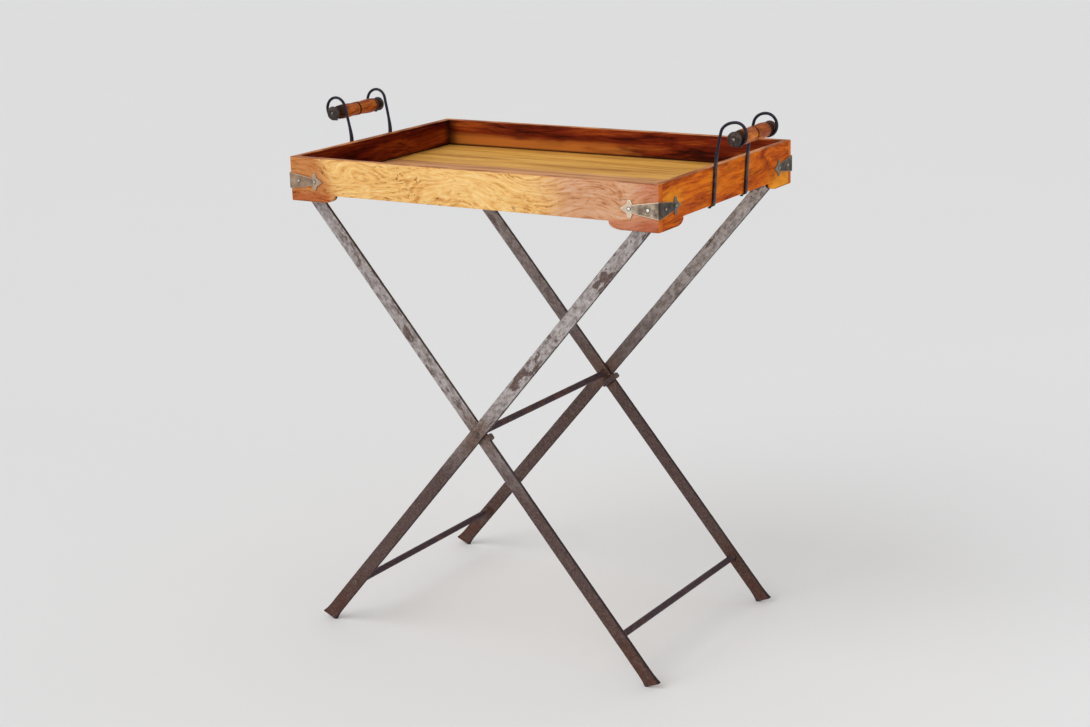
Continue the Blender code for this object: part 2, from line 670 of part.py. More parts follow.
def main():
    outer_frame = make_empty("outer_frame", (PIVOT_X, 0, PIVOT_HEIGHT))
    inner_frame = make_empty("inner_frame", (PIVOT_X, 0, PIVOT_HEIGHT))
    tray = make_empty("tray", (0, 0, LEG_TOP))
    grips = {}
    for side_name, side in (("right", 1), ("left", -1)):
        out, along, up = GRIP_PLACE[side_name]
        place = (side * (HALF_LENGTH + out), along, RIM_HEIGHT + up)
        grips[side_name] = make_empty("grip_axis_" + side_name, place)
    make_legs(outer_frame, inner_frame)
    make_cross_bars(outer_frame, inner_frame)
    make_stops(inner_frame)
    nail_pilots = make_corner_straps(tray)
    screw_pilots = make_handle_straps(tray)
    make_boards(tray, nail_pilots, screw_pilots)
    make_planks(tray)
    for side_name in grips:
        make_grip(side_name, grips[side_name])


main()
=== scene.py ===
import json
import math

import bmesh
import bpy
from mathutils import Matrix, Vector, noise


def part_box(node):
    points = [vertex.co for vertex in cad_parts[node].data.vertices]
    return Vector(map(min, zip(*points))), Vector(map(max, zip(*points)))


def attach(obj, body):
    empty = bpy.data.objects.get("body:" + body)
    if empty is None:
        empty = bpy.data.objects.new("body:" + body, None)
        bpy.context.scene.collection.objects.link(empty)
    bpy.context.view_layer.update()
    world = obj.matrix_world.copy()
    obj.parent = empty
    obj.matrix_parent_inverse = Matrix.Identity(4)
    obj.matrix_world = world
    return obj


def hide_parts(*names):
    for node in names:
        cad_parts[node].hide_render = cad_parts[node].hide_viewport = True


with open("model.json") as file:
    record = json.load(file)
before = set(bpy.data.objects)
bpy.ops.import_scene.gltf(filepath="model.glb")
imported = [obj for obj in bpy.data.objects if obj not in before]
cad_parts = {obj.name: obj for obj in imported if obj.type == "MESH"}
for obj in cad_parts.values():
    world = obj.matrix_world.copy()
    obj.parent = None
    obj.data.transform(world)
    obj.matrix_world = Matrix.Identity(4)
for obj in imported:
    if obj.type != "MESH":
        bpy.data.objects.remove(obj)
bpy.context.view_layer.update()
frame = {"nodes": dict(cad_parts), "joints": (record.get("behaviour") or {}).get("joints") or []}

corners = {name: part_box(name) for name in frame["nodes"]}
joints = {joint["name"]: joint for joint in frame["joints"]}
# inner and outer faces of the tray's walls
wallX, wallY = corners["right_board"][0][0], corners["back_board"][0][1]
faceX, faceY = corners["right_board"][1][0], corners["back_board"][1][1]
rimTop = corners["right_board"][1][2]
foldPivot = Vector(joints["fold"]["pos_m"])
innerLegFace, outerLegFace = (corners[name + "_leg_back"][0][1] for name in ("inner", "outer"))
print("frame loaded:", len(corners), "parts")


class Value:
    # wraps a socket, so that shader maths reads like ordinary maths

    def __init__(self, shader, socket):
        self.shader = shader
        self.socket = socket

    def maths(self, operation, *others, clamp=False):
        inputs = dict(enumerate((self,) + others))
        return self.shader.add("ShaderNodeMath", {"operation": operation, "use_clamp": clamp}, inputs)

    def __add__(self, other):
        return self.maths("ADD", other)

    def __sub__(self, other):
        return self.maths("SUBTRACT", other)

    def __mul__(self, other):
        return self.maths("MULTIPLY", other)

    def __pow__(self, other):
        return self.maths("POWER", other)

    def __rsub__(self, other):
        return self.shader.add("ShaderNodeMath", {"operation": "SUBTRACT"}, {0: other, 1: self})

    __radd__ = __add__
    __rmul__ = __mul__

    def sine(self):
        return self.maths("SINE")

    def size(self):
        return self.maths("ABSOLUTE")

    def clamped(self):
        return self.maths("ADD", 0.0, clamp=True)

    def upTo(self, other):
        return self.maths("MINIMUM", other)

    def atLeast(self, other):
        return self.maths("MAXIMUM", other)

    def rise(self, low, high):
        # 0 below low, 1 above high and smooth between; low may be the larger one
        inputs = {"Value": self, "From Min": low, "From Max": high}
        return self.shader.add("ShaderNodeMapRange", {"interpolation_type": "SMOOTHSTEP"}, inputs)

    def below(self, level, band):
        # 1 at the second of two distances below the level, 0 at the first
        return self.rise(level - band[0], level - band[1])

    def above(self, level, band):
        return self.rise(level + band[0], level + band[1])


class Shader:
    # one material and the nodes added to it

    def __init__(self, name, **fixed):
        self.material = bpy.data.materials.new(name)
        self.material.use_nodes = True
        self.tree = self.material.node_tree
        self.surface = self.tree.nodes["Principled BSDF"]
        for socket, value in fixed.items():
            self.surface.inputs[socket.replace("_", " ")].default_value = value
        self.here = self.add("ShaderNodeTexCoord", out="Object")

    def add(self, kind, settings=None, inputs=None, out=0):
        node = self.tree.nodes.new(kind)
        for key, value in (settings or {}).items():
            if key == "stops":
                self.setStops(node.color_ramp, value)
            else:
                setattr(node, key, value)
        for key, value in (inputs or {}).items():
            if isinstance(value, Value):
                self.tree.links.new(value.socket, node.inputs[key])
            else:
                node.inputs[key].default_value = value
        return Value(self, node.outputs[out])

    def setStops(self, ramp, stops):
        while len(ramp.elements) < len(stops):
            ramp.elements.new(0.5)
        for element, (place, colour) in zip(ramp.elements, stops):
            element.position = place
            element.color = (*colour, 1.0)

    def mix(self, share, first, second, kind="MIX"):
        settings = {"data_type": "RGBA", "blend_type": kind}
        inputs = {0: share, 6: asColour(first), 7: asColour(second)}
        return self.add("ShaderNodeMix", settings, inputs, out=2)

    def multiply(self, share, first, second):
        return self.mix(share, first, second, "MULTIPLY")

    def ramp(self, value, stops):
        return self.add("ShaderNodeValToRGB", {"stops": stops}, {0: value})

    def stretch(self, vector, scale, move=(0, 0, 0)):
        return self.add("ShaderNodeMapping", None, {"Vector": vector, "Location": move, "Scale": scale})

    def vector(self, operation, first, second):
        return self.add("ShaderNodeVectorMath", {"operation": operation}, {0: first, 1: second})

    def noise(self, vector, scale, detail=3.0, rough=0.55):
        inputs = {"Vector": vector, "Scale": scale, "Detail": detail, "Roughness": rough}
        return self.add("ShaderNodeTexNoise", None, inputs)

    def longNoise(self, vector, scale, detail, rough=0.55):
        # noise with its own scale along each axis, for grain and scratches
        return self.noise(self.stretch(vector, scale), 1.0, detail, rough)

    def noiseColour(self, vector, scale, detail):
        inputs = {"Vector": vector, "Scale": scale, "Detail": detail}
        return self.add("ShaderNodeTexNoise", None, inputs, out="Color")

    def cells(self, vector, scale):
        return self.add("ShaderNodeTexVoronoi", None, {"Vector": vector, "Scale": scale})

    def axes(self, vector):
        return [self.add("ShaderNodeSeparateXYZ", None, {0: vector}, out=axis) for axis in "XYZ"]

    def join(self, x, y, z):
        return self.add("ShaderNodeCombineXYZ", None, {0: x, 1: y, 2: z})

    def tag(self, name):
        return self.add("ShaderNodeAttribute", {"attribute_name": name}, out="Fac")

    def finish(self, colour, rough=None, metal=None, height=None, depth=0.0005, strength=0.6):
        values = {"Base Color": colour, "Roughness": rough, "Metallic": metal}
        if height is not None:
            bump = {"Height": height, "Distance": depth, "Strength": strength}
            values["Normal"] = self.add("ShaderNodeBump", None, bump)
        for socket, value in values.items():
            if value is not None:
                self.tree.links.new(value.socket, self.surface.inputs[socket])
        return self.material


def asColour(value):
    return value if isinstance(value, Value) else (*value, 1.0)


def meshFrom(bm, name, sharp=35):
    bmesh.ops.remove_doubles(bm, verts=bm.verts, dist=1e-6)
    bmesh.ops.recalc_face_normals(bm, faces=bm.faces)
    mesh = bpy.data.meshes.new(name)
    bm.to_mesh(mesh)
    bm.free()
    mesh.shade_smooth()
    mesh.set_sharp_from_angle(angle=math.radians(sharp))
    return mesh


def loft(rings, name, sharp=35, tags=None):
    # skin over rings of points, closed at both ends; tags gives one number for each ring
    bm = bmesh.new()
    layers = {key: bm.verts.layers.float.new(key) for key in (tags or {})}
    loops = []
    for number, ring in enumerate(rings):
        loop = [bm.verts.new(point) for point in ring]
        for key, layer in layers.items():
            for vert in loop:
                vert[layer] = tags[key][number]
        loops.append(loop)
    for near, far in zip(loops, loops[1:]):
        for side in range(len(near)):
            bm.faces.new((near[side - 1], near[side], far[side], far[side - 1]))
    bm.faces.new(loops[0])
    bm.faces.new(loops[-1])
    return meshFrom(bm, name, sharp)


def turned(profile, centre, name, sides=40, sharp=35, tags=None, uneven=0.0):
    # turns (radius, place along Y) points about a line through centre
    rings = []
    for radius, along in profile:
        ring = []
        for side in range(sides):
            turn = 2 * math.pi * side / sides
            out = Vector((math.cos(turn), 0, math.sin(turn)))
            bump = noise.noise((centre + out * radius + Vector((0, along, 0))) * 160) * uneven
            ring.append(centre + out * max(0.0, radius - abs(bump)) + Vector((0, along, 0)))
        rings.append(ring)
    return loft(rings, name, sharp, tags)


def smoothLine(points, steps):
    # Catmull-Rom line through the points, as a list of tuples
    ends = [points[0]] + list(points) + [points[-1]]
    line = []
    for index in range(len(points) - 1):
        a, b, c, d = (Vector(point) for point in ends[index:index + 4])
        for step in range(steps):
            t = step / steps
            line.append(tuple(0.5 * (2 * b + (c - a) * t + (2 * a - 5 * b + 4 * c - d) * t**2
                                     + (3 * b - a - 3 * c + d) * t**3)))
    return line + [tuple(points[-1])]


def placed(name, data):
    thing = bpy.data.objects.new(name, data)
    bpy.context.scene.collection.objects.link(thing)
    return thing


def plainMesh(thing):
    # the object's mesh with its modifiers worked out
    graph = bpy.context.evaluated_depsgraph_get()
    return bpy.data.meshes.new_from_object(thing.evaluated_get(graph))


def roundEdges(bm, edges, offset, segments):
    bmesh.ops.bevel(bm, geom=edges, offset=offset, segments=segments, profile=0.5, affect="EDGES")


def addPiece(mesh, name, material, body, slot, *nodes):
    piece = placed(name, mesh)
    if not mesh.materials:
        mesh.materials.append(material)
    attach(piece, body)
    if nodes:
        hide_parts(*nodes)


def middleOf(name):
    low, high = corners[name]
    return (Vector(low) + Vector(high)) / 2


studio = {
    "floorColour": (0.80, 0.80, 0.80),
    "floorShade": 0.985,  # the floor's faint patches
    "floorRadius": 24.0,
    "skyColour": (0.90, 0.90, 0.905),
    "skyStrength": 0.74,
    "keyStrength": 1.15,
    "keyWidth": 50,  # degrees, for soft shadows
    "keyFrom": (-0.55, -1.0, 1.05),
    "sidePower": 7.0,
    "sideSize": 1.2,
    "sidePlace": (2.6, -0.4, 1.5),
    "sideAim": (0.1, 0, 0.6),
}

cameraSpec = {
    "place": (1.5532, -2.4965, 1.2006),
    "heading": -0.5578,  # turned from +Y towards +X, radians
    "down": 0.2644,
    "roll": -0.0284,
    "lens": 65.8,
    "sensor": 36.0,
}


def buildLights():
    world = bpy.data.worlds.new("studio")
    bpy.context.scene.world = world
    world.use_nodes = True
    sky = world.node_tree.nodes["Background"]
    sky.inputs["Color"].default_value = (*studio["skyColour"], 1.0)
    sky.inputs["Strength"].default_value = studio["skyStrength"]
    key = bpy.data.lights.new("keyLight", "SUN")
    key.energy = studio["keyStrength"]
    key.angle = math.radians(studio["keyWidth"])
    towardsKey = Vector(studio["keyFrom"]).to_track_quat("Z", "Y")
    placed("keyLight", key).rotation_euler = towardsKey.to_euler()
    soft = bpy.data.lights.new("sideLight", "AREA")
    soft.shape = "DISK"
    soft.size = studio["sideSize"]
    soft.energy = studio["sidePower"]
    lamp = placed("sideLight", soft)
    lamp.location = studio["sidePlace"]
    towards = Vector(studio["sideAim"]) - lamp.location
    lamp.rotation_euler = towards.to_track_quat("-Z", "Y").to_euler()


def buildFloor():
    bm = bmesh.new()
    bmesh.ops.create_circle(bm, cap_ends=True, segments=96, radius=studio["floorRadius"])
    floor = placed("studioFloor", meshFrom(bm, "studioFloor"))
    shader = Shader("floorPaint", Roughness=0.75)
    shade = shader.noise(shader.here, 1.2, 2.0)
    pale = studio["floorColour"]
    deeper = tuple(channel * studio["floorShade"] for channel in pale)
    floor.data.materials.append(shader.finish(shader.mix(shade, pale, deeper)))


def buildCamera():
    heading, down, roll = (cameraSpec[key] for key in ("heading", "down", "roll"))
    level = Vector((math.sin(heading), math.cos(heading), 0))
    forward = level * math.cos(down) - Vector((0, 0, math.sin(down)))
    side = forward.cross(Vector((0, 0, 1))).normalized()
    up = side.cross(forward)
    right = side * math.cos(roll) + up * math.sin(roll)
    top = up * math.cos(roll) - side * math.sin(roll)
    turn = Matrix((right, top, -forward)).transposed().to_4x4()
    lens = bpy.data.cameras.new("camera")
    lens.lens = cameraSpec["lens"]
    lens.sensor_width = cameraSpec["sensor"]
    camera = placed("camera", lens)
    camera.matrix_world = Matrix.Translation(cameraSpec["place"]) @ turn
    bpy.context.scene.camera = camera


def buildStudio():
    bpy.context.scene.view_settings.view_transform = "Standard"
    buildLights()
    buildFloor()
    buildCamera()
    print("studio and camera ready")


burlGold = {  # outside of the long boards
    "pale": (0.98, 0.67, 0.28), "mid": (0.89, 0.50, 0.16),
    "dark": (0.56, 0.24, 0.060), "mark": (0.17, 0.055, 0.015),
    "swirl": 0.040, "rings": 22.0, "ringShare": 0.16, "fibreShare": 0.74, "cloudShare": 0.38,
    "stretch": 1.0, "flecks": 1.0, "streaks": 0.12,
}
flameOrange = {  # outside of the short boards
    "pale": (0.82, 0.215, 0.010), "mid": (0.56, 0.100, 0.006),
    "dark": (0.26, 0.036, 0.004), "mark": (0.085, 0.012, 0.003),
    "swirl": 0.026, "rings": 14.0, "ringShare": 0.22, "fibreShare": 0.62, "cloudShare": 0.50,
    "stretch": 0.8, "flecks": 0.6, "streaks": 0.50,
}
deepRed = {  # inside of every board
    "pale": (0.40, 0.080, 0.010), "mid": (0.185, 0.020, 0.004),
    "dark": (0.050, 0.004, 0.001), "mark": (0.012, 0.002, 0.001),
    "swirl": 0.012, "rings": 8.0, "ringShare": 0.20, "fibreShare": 0.54, "cloudShare": 0.60,
    "stretch": 0.6, "flecks": 0.45, "streaks": 0.85,
}
ochreFloor = {
    "pale": (0.88, 0.50, 0.12), "mid": (0.66, 0.33, 0.062),
    "dark": (0.36, 0.14, 0.020), "mark": (0.21, 0.07, 0.012),
    "swirl": 0.006, "rings": 9.0, "ringShare": 0.16, "fibreShare": 0.66, "cloudShare": 0.50,
    "stretch": 0.28, "flecks": 0.20, "streaks": 0.55,
}
rosyFloor = dict(ochreFloor, pale=(0.78, 0.42, 0.18), mid=(0.58, 0.27, 0.10),
                 dark=(0.34, 0.13, 0.04), mark=(0.20, 0.065, 0.02))
gripWood = {
    "pale": (0.80, 0.23, 0.016), "mid": (0.34, 0.066, 0.007),
    "dark": (0.070, 0.010, 0.003), "mark": (0.014, 0.003, 0.002),
    "swirl": 0.008, "rings": 8.0, "ringShare": 0.25, "fibreShare": 0.55, "cloudShare": 0.6,
    "stretch": 1.0, "flecks": 0.5, "streaks": 0.5,
}


grainScales = {  # along and across the grain
    "drift": (6, 10, 10),
    "rings": (3.0, 15, 15),
    "fibres": (34, 360, 360),
    "clouds": (7, 20, 20),
    "pores": (90, 620, 620),
    "flecks": (60, 210, 210),
    "streaks": (8, 75, 75),
    "worn": (18, 60, 60),
    "spots": 170.0,
}


def woodFigure(shader, look, grain, seed):
    # colour, height, gloss and clouds of sawn wood with its grain along the vector's first axis
    scales = grainScales
    moved = shader.stretch(grain, (look["stretch"], 1, 1), (seed * 1.7, seed * 0.9, seed * 0.37))
    drift = shader.noiseColour(shader.stretch(moved, scales["drift"]), 1.5, 1.5)
    drift = shader.vector("SUBTRACT", drift, (0.5, 0.5, 0.5))
    reach = tuple(look["swirl"] * share for share in (1.4, 1.6, 1.6))
    bent = shader.vector("ADD", moved, shader.vector("MULTIPLY", drift, reach))
    ringField = shader.longNoise(bent, scales["rings"], 2.0, 0.5)
    rings = (ringField * (look["rings"] * 6.283)).sine() * 0.5 + 0.5
    fibres = shader.longNoise(bent, scales["fibres"], 4.0, 0.7)
    clouds = shader.longNoise(bent, scales["clouds"], 4.0, 0.62)
    ringShare, fibreShare, cloudShare = look["ringShare"], look["fibreShare"], look["cloudShare"]
    tone = rings * (ringShare * 0.6) + fibres * fibreShare + clouds * cloudShare
    middle = ringShare * 0.3 + (fibreShare + cloudShare) * 0.5
    tone = ((tone - middle) * 1.9 + 0.5).clamped()
    colour = shader.ramp(tone, [(0.18, look["dark"]), (0.46, look["mid"]), (0.80, look["pale"])])
    pores = shader.longNoise(bent, scales["pores"], 2.0, 0.5).rise(0.58, 0.70)
    flecks = shader.longNoise(bent, scales["flecks"], 3.0, 0.6).rise(0.60, 0.69)
    spots = shader.cells(bent, scales["spots"]).rise(0.18, 0.08)
    streaks = shader.longNoise(bent, scales["streaks"], 5.0, 0.72).rise(0.55, 0.70)
    specks = flecks * clouds.rise(0.62, 0.44) * 0.7 + spots * clouds.rise(0.52, 0.42)
    marks = (pores * 0.22 + specks * look["flecks"] + streaks * look["streaks"]).clamped()
    colour = shader.mix(marks, colour, look["mark"])
    height = fibres * 0.4 - pores * 0.4 - marks * 0.3
    return colour, height, 0.34 + fibres * 0.16 + marks * 0.2, clouds


boardTints = {
    "pink": (0.76, 0.67, 1.05),
    "end": (0.64, 0.42, 0.38),
    "foot": (0.80, 0.52, 0.48),
    "shade": (0.50, 0.34, 0.30),
    "rimDark": (0.30, 0.085, 0.025),
    "rimPale": (0.60, 0.26, 0.105),
    # painted shade for the inside faces, in the corners and low down where the walls meet the floor
    "paintedShade": (0.012, 0.004, 0.002),
    "rubbed": (0.56, 0.19, 0.032),
    "ember": (0.98, 0.42, 0.03),
}

boardZones = {  # where each tint starts and is full
    "pink": (0.10, 0.185),  # along the board
    "end": (0.236, 0.268),
    "farEnd": (0.262, 0.30),
    "foot": (0.215, 0.245),
    "emberBack": (0.105, 0.150),
    "emberFront": (0.13, 0.185),
    "footUp": (0.018, 0.009),  # above the feet's underside
    "emberUp": (0.034, 0.018),
    "lowEdge": (0.0030, 0.0002),
    "rubbed": (0.017, 0.030),  # below the rim
    # painted shade, low on the inside faces where the walls meet the floor
    "paintedShade": (0.0372, 0.0402),
    "rim": (0.0014, 0.0004),
    "corner": (0.022, 0.001),  # from the end
    "butt": (0.0016, 0.0004),
    "inside": (-0.0008, 0.0008),  # from the middle of the thickness
}


def boardMaterial(name, node, long, outsideLook, seed, facing=1):
    # outside, inside, ends and rim; facing is the end with the pink or golden patch
    shader = Shader(name, Specular_IOR_Level=0.06 if long else 0.02)
    x, y, z = shader.axes(shader.here)
    low, high = corners[node]
    bottom, top = low[2], high[2]
    zones, tints = boardZones, boardTints
    grain = shader.join(x, y, z) if long else shader.join(y, x, z)
    through, along = (y, x) if long else (x, y)
    axis = 1 if long else 0
    middle = (low[axis] + high[axis]) / 2
    outward = 1 if middle > 0 else -1
    colour, height, gloss, clouds = woodFigure(shader, outsideLook, grain, seed)
    inner, innerHeight, innerGloss, innerClouds = woodFigure(shader, deepRed, grain, seed + 3.1)
    wander = clouds * 0.12 - 0.06
    if long:
        pink = ((along + wander) * facing).rise(*zones["pink"])
        slanted = (along + z * 0.35 - top * 0.35) * -facing
        farEnd = (along * facing + wander * 0.4).rise(*zones["farEnd"])
        foot = z.above(bottom, zones["footUp"]) * (along.size() + wander * 0.4).rise(*zones["foot"])
        colour = shader.multiply(pink, colour, tints["pink"])
        colour = shader.multiply((slanted + wander * 0.5).rise(*zones["end"]), colour, tints["end"])
        colour = shader.multiply(farEnd * 0.8, colour, tints["foot"])
        colour = shader.multiply(foot * 0.8, colour, tints["foot"])
        rubbed = z.below(top, zones["rubbed"]) * innerClouds.rise(0.38, 0.58) * 0.8
        inner = shader.mix(rubbed, inner, tints["rubbed"])
    else:
        back = (along * facing + wander * 0.5).rise(*zones["emberBack"])
        back = back * z.above(bottom, zones["emberUp"])
        front = (along * -facing + wander * 0.6).rise(*zones["emberFront"])
        colour = shader.mix(back * clouds.rise(0.30, 0.55) * 0.75, colour, tints["ember"])
        colour = shader.mix(front * clouds.rise(0.42, 0.62) * 0.5, colour, tints["ember"])
        inner = shader.mix(innerClouds.rise(0.56, 0.68) * 0.55, inner, tints["rubbed"])
        inner = shader.multiply(clouds.rise(0.62, 0.40), inner, tints["shade"])
    # painted shade low on the inside faces, where they meet the floor
    inner = shader.mix(z.below(top, zones["paintedShade"]) * 0.85, inner, tints["paintedShade"])
    # painted shade in the inside corners of the tray
    halfInside = wallX if long else wallY
    inner = shader.mix(along.size().below(halfInside, zones["corner"]) * 0.75, inner, tints["paintedShade"])
    inside = (through * outward).below(middle * outward, zones["inside"])
    colour = shader.mix(inside, colour, inner)
    worn = shader.longNoise(grain, grainScales["worn"], 3.0).rise(0.40, 0.60)
    rimColour = shader.mix(worn, tints["rimDark"], tints["rimPale"])
    colour = shader.mix(z.below(top, zones["rim"]) * 0.85, colour, rimColour)
    lowEdge = z.above(bottom, zones["lowEdge"]) * (worn * 0.4 + 0.25)
    colour = shader.mix(lowEdge, colour, outsideLook["mark"])
    if long:  # the ends show beside the short boards and look like them
        butt = along.size().below(high[0], zones["butt"])
        buttColour = shader.mix(clouds.rise(0.40, 0.75), flameOrange["mid"], flameOrange["pale"])
        colour = shader.mix(butt * 0.9, colour, buttColour)
    height = height + inside * (innerHeight - height)
    gloss = gloss + inside * (innerGloss - gloss)
    return shader.finish(colour, gloss, None, height, 0.0004, 0.4)


# dark seams between the planks, and painted shade on the floor beside the walls
plankSeamsAndShade = {"seam": (0.0014, 0.0002), "wallX": (0.014, 0.001), "wallY": (0.012, 0.001)}


def plankMaterial(name, look, seed, frontEdge, backEdge):
    shader = Shader(name, Specular_IOR_Level=0.10)
    x, y, z = shader.axes(shader.here)
    colour, height, gloss, clouds = woodFigure(shader, look, shader.here, seed)
    dirt = (y - frontEdge).upTo(backEdge - y).rise(*plankSeamsAndShade["seam"]) * 0.6
    colour = shader.mix(dirt, colour, look["mark"])
    # painted shade on the floor beside the walls, broken into patches
    besideX = x.size().below(wallX, plankSeamsAndShade["wallX"])
    besideY = y.size().below(wallY, plankSeamsAndShade["wallY"])
    wallShade = besideX.atLeast(besideY) * clouds.rise(0.30, 0.60) * 0.75
    colour = shader.mix(wallShade, colour, look["mark"])
    return shader.finish(colour, gloss + 0.1, None, height - dirt, 0.0004, 0.4)


def turnedWoodMaterial():
    shader = Shader("turnedWood", Coat_Weight=0.02, Coat_Roughness=0.15, Specular_IOR_Level=0.10)
    x, y, z = shader.axes(shader.here)
    colour, height, gloss, clouds = woodFigure(shader, gripWood, shader.join(y, x, z), 5.0)
    nearNeck = (y - joints["grip_spin_right"]["pos_m"][1]).size().rise(0.030, 0.050) * 0.50
    burnt = (shader.tag("burnt") + nearNeck + clouds * 0.6 - 0.28).clamped()
    turning = (y * 2600.0).sine() * 0.5 + 0.5  # fine lathe lines
    colour = shader.mix(burnt * 0.93, colour, (0.012, 0.007, 0.005))
    relief = height * 0.5 + turning * 0.10
    return shader.finish(colour, gloss + burnt * 0.15, None, relief, 0.0004, 0.35)


metalLooks = {
    "burnt": [(0.3, (0.008, 0.006, 0.006)), (0.55, (0.040, 0.029, 0.025)), (0.8, (0.15, 0.115, 0.10))],
    "silver": [(0.30, (0.17, 0.135, 0.125)), (0.46, (0.36, 0.315, 0.30)), (0.64, (0.62, 0.57, 0.555))],
    "brown": [(0.30, (0.040, 0.021, 0.022)), (0.52, (0.105, 0.066, 0.060)), (0.76, (0.20, 0.135, 0.112))],
    "scab": [(0.30, (0.030, 0.014, 0.012)), (0.55, (0.105, 0.055, 0.042)), (0.75, (0.20, 0.115, 0.085))],
    "rust": [(0.30, (0.038, 0.014, 0.010)), (0.60, (0.115, 0.045, 0.026))],
    "crossing": [(0.30, (0.060, 0.028, 0.018)), (0.60, (0.21, 0.125, 0.085))],
    "edge": (0.014, 0.009, 0.011),
    "arris": (0.62, 0.56, 0.54),
    "bar": [(0.3, (0.018, 0.009, 0.014)), (0.52, (0.050, 0.026, 0.034)), (0.78, (0.12, 0.075, 0.075))],
    "barEnd": [(0.3, (0.06, 0.032, 0.026)), (0.55, (0.14, 0.095, 0.08)), (0.75, (0.26, 0.20, 0.18))],
    "barRust": [(0.3, (0.05, 0.018, 0.012)), (0.7, (0.17, 0.075, 0.04))],
    "weld": [(0.35, (0.022, 0.010, 0.008)), (0.52, (0.080, 0.036, 0.022)), (0.70, (0.19, 0.095, 0.05))],
    "forged": [(0.3, (0.009, 0.008, 0.015)), (0.55, (0.022, 0.018, 0.034)), (0.8, (0.06, 0.048, 0.06))],
    "patina": [(0.32, (0.13, 0.10, 0.075)), (0.48, (0.31, 0.24, 0.175)), (0.64, (0.58, 0.46, 0.35))],
    "dull": [(0.35, (0.014, 0.013, 0.011)), (0.58, (0.050, 0.038, 0.028)), (0.78, (0.13, 0.09, 0.055))],
    "nail": [(0.30, (0.70, 0.64, 0.55)), (0.55, (0.97, 0.94, 0.88))],
    "capNail": [(0.35, (0.05, 0.04, 0.035)), (0.62, (0.42, 0.38, 0.33))],
}
leftEnd = (-0.20, -0.24)  # from here to there the straps and nails turn browner


def burntWoodMaterial():
    shader = Shader("burntWood", Coat_Weight=0.05, Coat_Roughness=0.3, Specular_IOR_Level=0.3)
    x, y, z = shader.axes(shader.here)
    speckle = shader.noise(shader.here, 260.0, 5.0, 0.7)
    worn = shader.noise(shader.here, 90.0, 3.0).rise(0.52, 0.66)
    colour = shader.mix(worn * 0.5, shader.ramp(speckle, metalLooks["burnt"]), (0.16, 0.10, 0.075))
    scorched = x.rise(0.0, 0.1) * y.rise(0.0, 0.03)  # the cap at the right back is less burnt
    brown = shader.mix(worn, (0.10, 0.026, 0.008), (0.36, 0.10, 0.020))
    colour = shader.mix(scorched * 0.7, colour, brown)
    relief = speckle * 0.4 + ((y * 3400.0).sine() * 0.5 + 0.5) * 0.1
    return shader.finish(colour, 0.38 + speckle * 0.25, None, relief, 0.0004, 0.4)


def legMaterial(name, seed, lean, angle, silverFrom, silverTo, silver):
    # bare and silvery above, rusted dark below, with scabs of old scale and dark narrow sides
    shader = Shader(name, Specular_IOR_Level=0.25)
    x, y, z = shader.axes(shader.here)
    sine, cosine = math.sin(math.radians(angle)), math.cos(math.radians(angle))
    out, up = x - foldPivot.x, z - foldPivot.z
    across = out * (lean * cosine) - up * sine
    along = out * (lean * sine) + up * cosine
    lengthwise = shader.join(along + seed, y, across)
    blots = shader.longNoise(lengthwise, (24, 50, 50), 5.0, 0.66)
    fine = shader.noise(lengthwise, 330.0, 4.0, 0.75)
    flecks = shader.longNoise(lengthwise, (110, 190, 190), 4.0, 0.7)
    bare = (z + blots * 0.26 - 0.13).rise(silverFrom, silverTo) * silver
    brown, scab, rust, crossing = (
        shader.ramp(fine, metalLooks[key]) for key in ("brown", "scab", "rust", "crossing"))
    colour = shader.mix(bare, brown, shader.ramp(flecks, metalLooks["silver"]))
    scabs = blots.rise(0.555, 0.60) * 0.9
    spots = flecks.rise(0.60, 0.655) * blots.rise(0.40, 0.52) * 0.8
    patches = (scabs + spots).clamped() * (0.30 + bare * 0.65)
    colour = shader.mix(patches, colour, scab)
    foot = z.rise(0.15, 0.01) * (blots * 0.5 + flecks * 0.5).rise(0.40, 0.50)
    colour = shader.mix(foot * 0.85, colour, rust)
    fromPivot = (across * across + along * along) ** 0.5
    colour = shader.mix(fromPivot.rise(0.052, 0.012) * (0.35 + blots * 0.5), colour, crossing)
    half = legShape["width"] / 2
    side = across.size().below(half, (0.0013, 0.0005))
    arris = across.size().below(half, (0.0026, 0.0016)) * (1 - side) * flecks.rise(0.42, 0.60)
    colour = shader.mix(arris * bare * 0.5, colour, metalLooks["arris"])
    colour = shader.mix(side * 0.80, colour, metalLooks["edge"])
    metal = (0.20 + bare * 0.45) * (1 - patches * 0.8)
    rough = 0.60 - bare * 0.16 + patches * 0.2 + (fine - 0.5) * 0.25
    relief = fine * 0.3 + flecks * 0.3 + patches * 0.4
    return shader.finish(colour, rough, metal, relief, 0.0009, 0.6)


def rustyBarMaterial():
    shader = Shader("rustyBar", Specular_IOR_Level=0.3)
    fine = shader.noise(shader.here, 300.0, 4.0, 0.75)
    blots = shader.noise(shader.here, 45.0, 4.0, 0.6)
    x, y, z = shader.axes(shader.here)
    dark, worn, rust = (shader.ramp(fine, metalLooks[key]) for key in ("bar", "barEnd", "barRust"))
    colour = shader.mix(y.size().rise(0.165, 0.184) * 0.85, dark, worn)
    colour = shader.mix(blots.rise(0.53, 0.62) * 0.55, colour, rust)
    return shader.finish(colour, 0.5 + fine * 0.25, 0.40 - blots * 0.3, fine + blots * 0.5, 0.0007, 0.6)


def weldMaterial():
    shader = Shader("weldScale", Specular_IOR_Level=0.3)
    fine = shader.noise(shader.here, 420.0, 4.0, 0.7)
    blots = shader.noise(shader.here, 150.0, 3.0, 0.6)
    colour = shader.ramp(blots, metalLooks["weld"])
    return shader.finish(colour, 0.6 + fine * 0.3, 0.3 - blots * 0.2, fine + blots, 0.0008, 0.7)


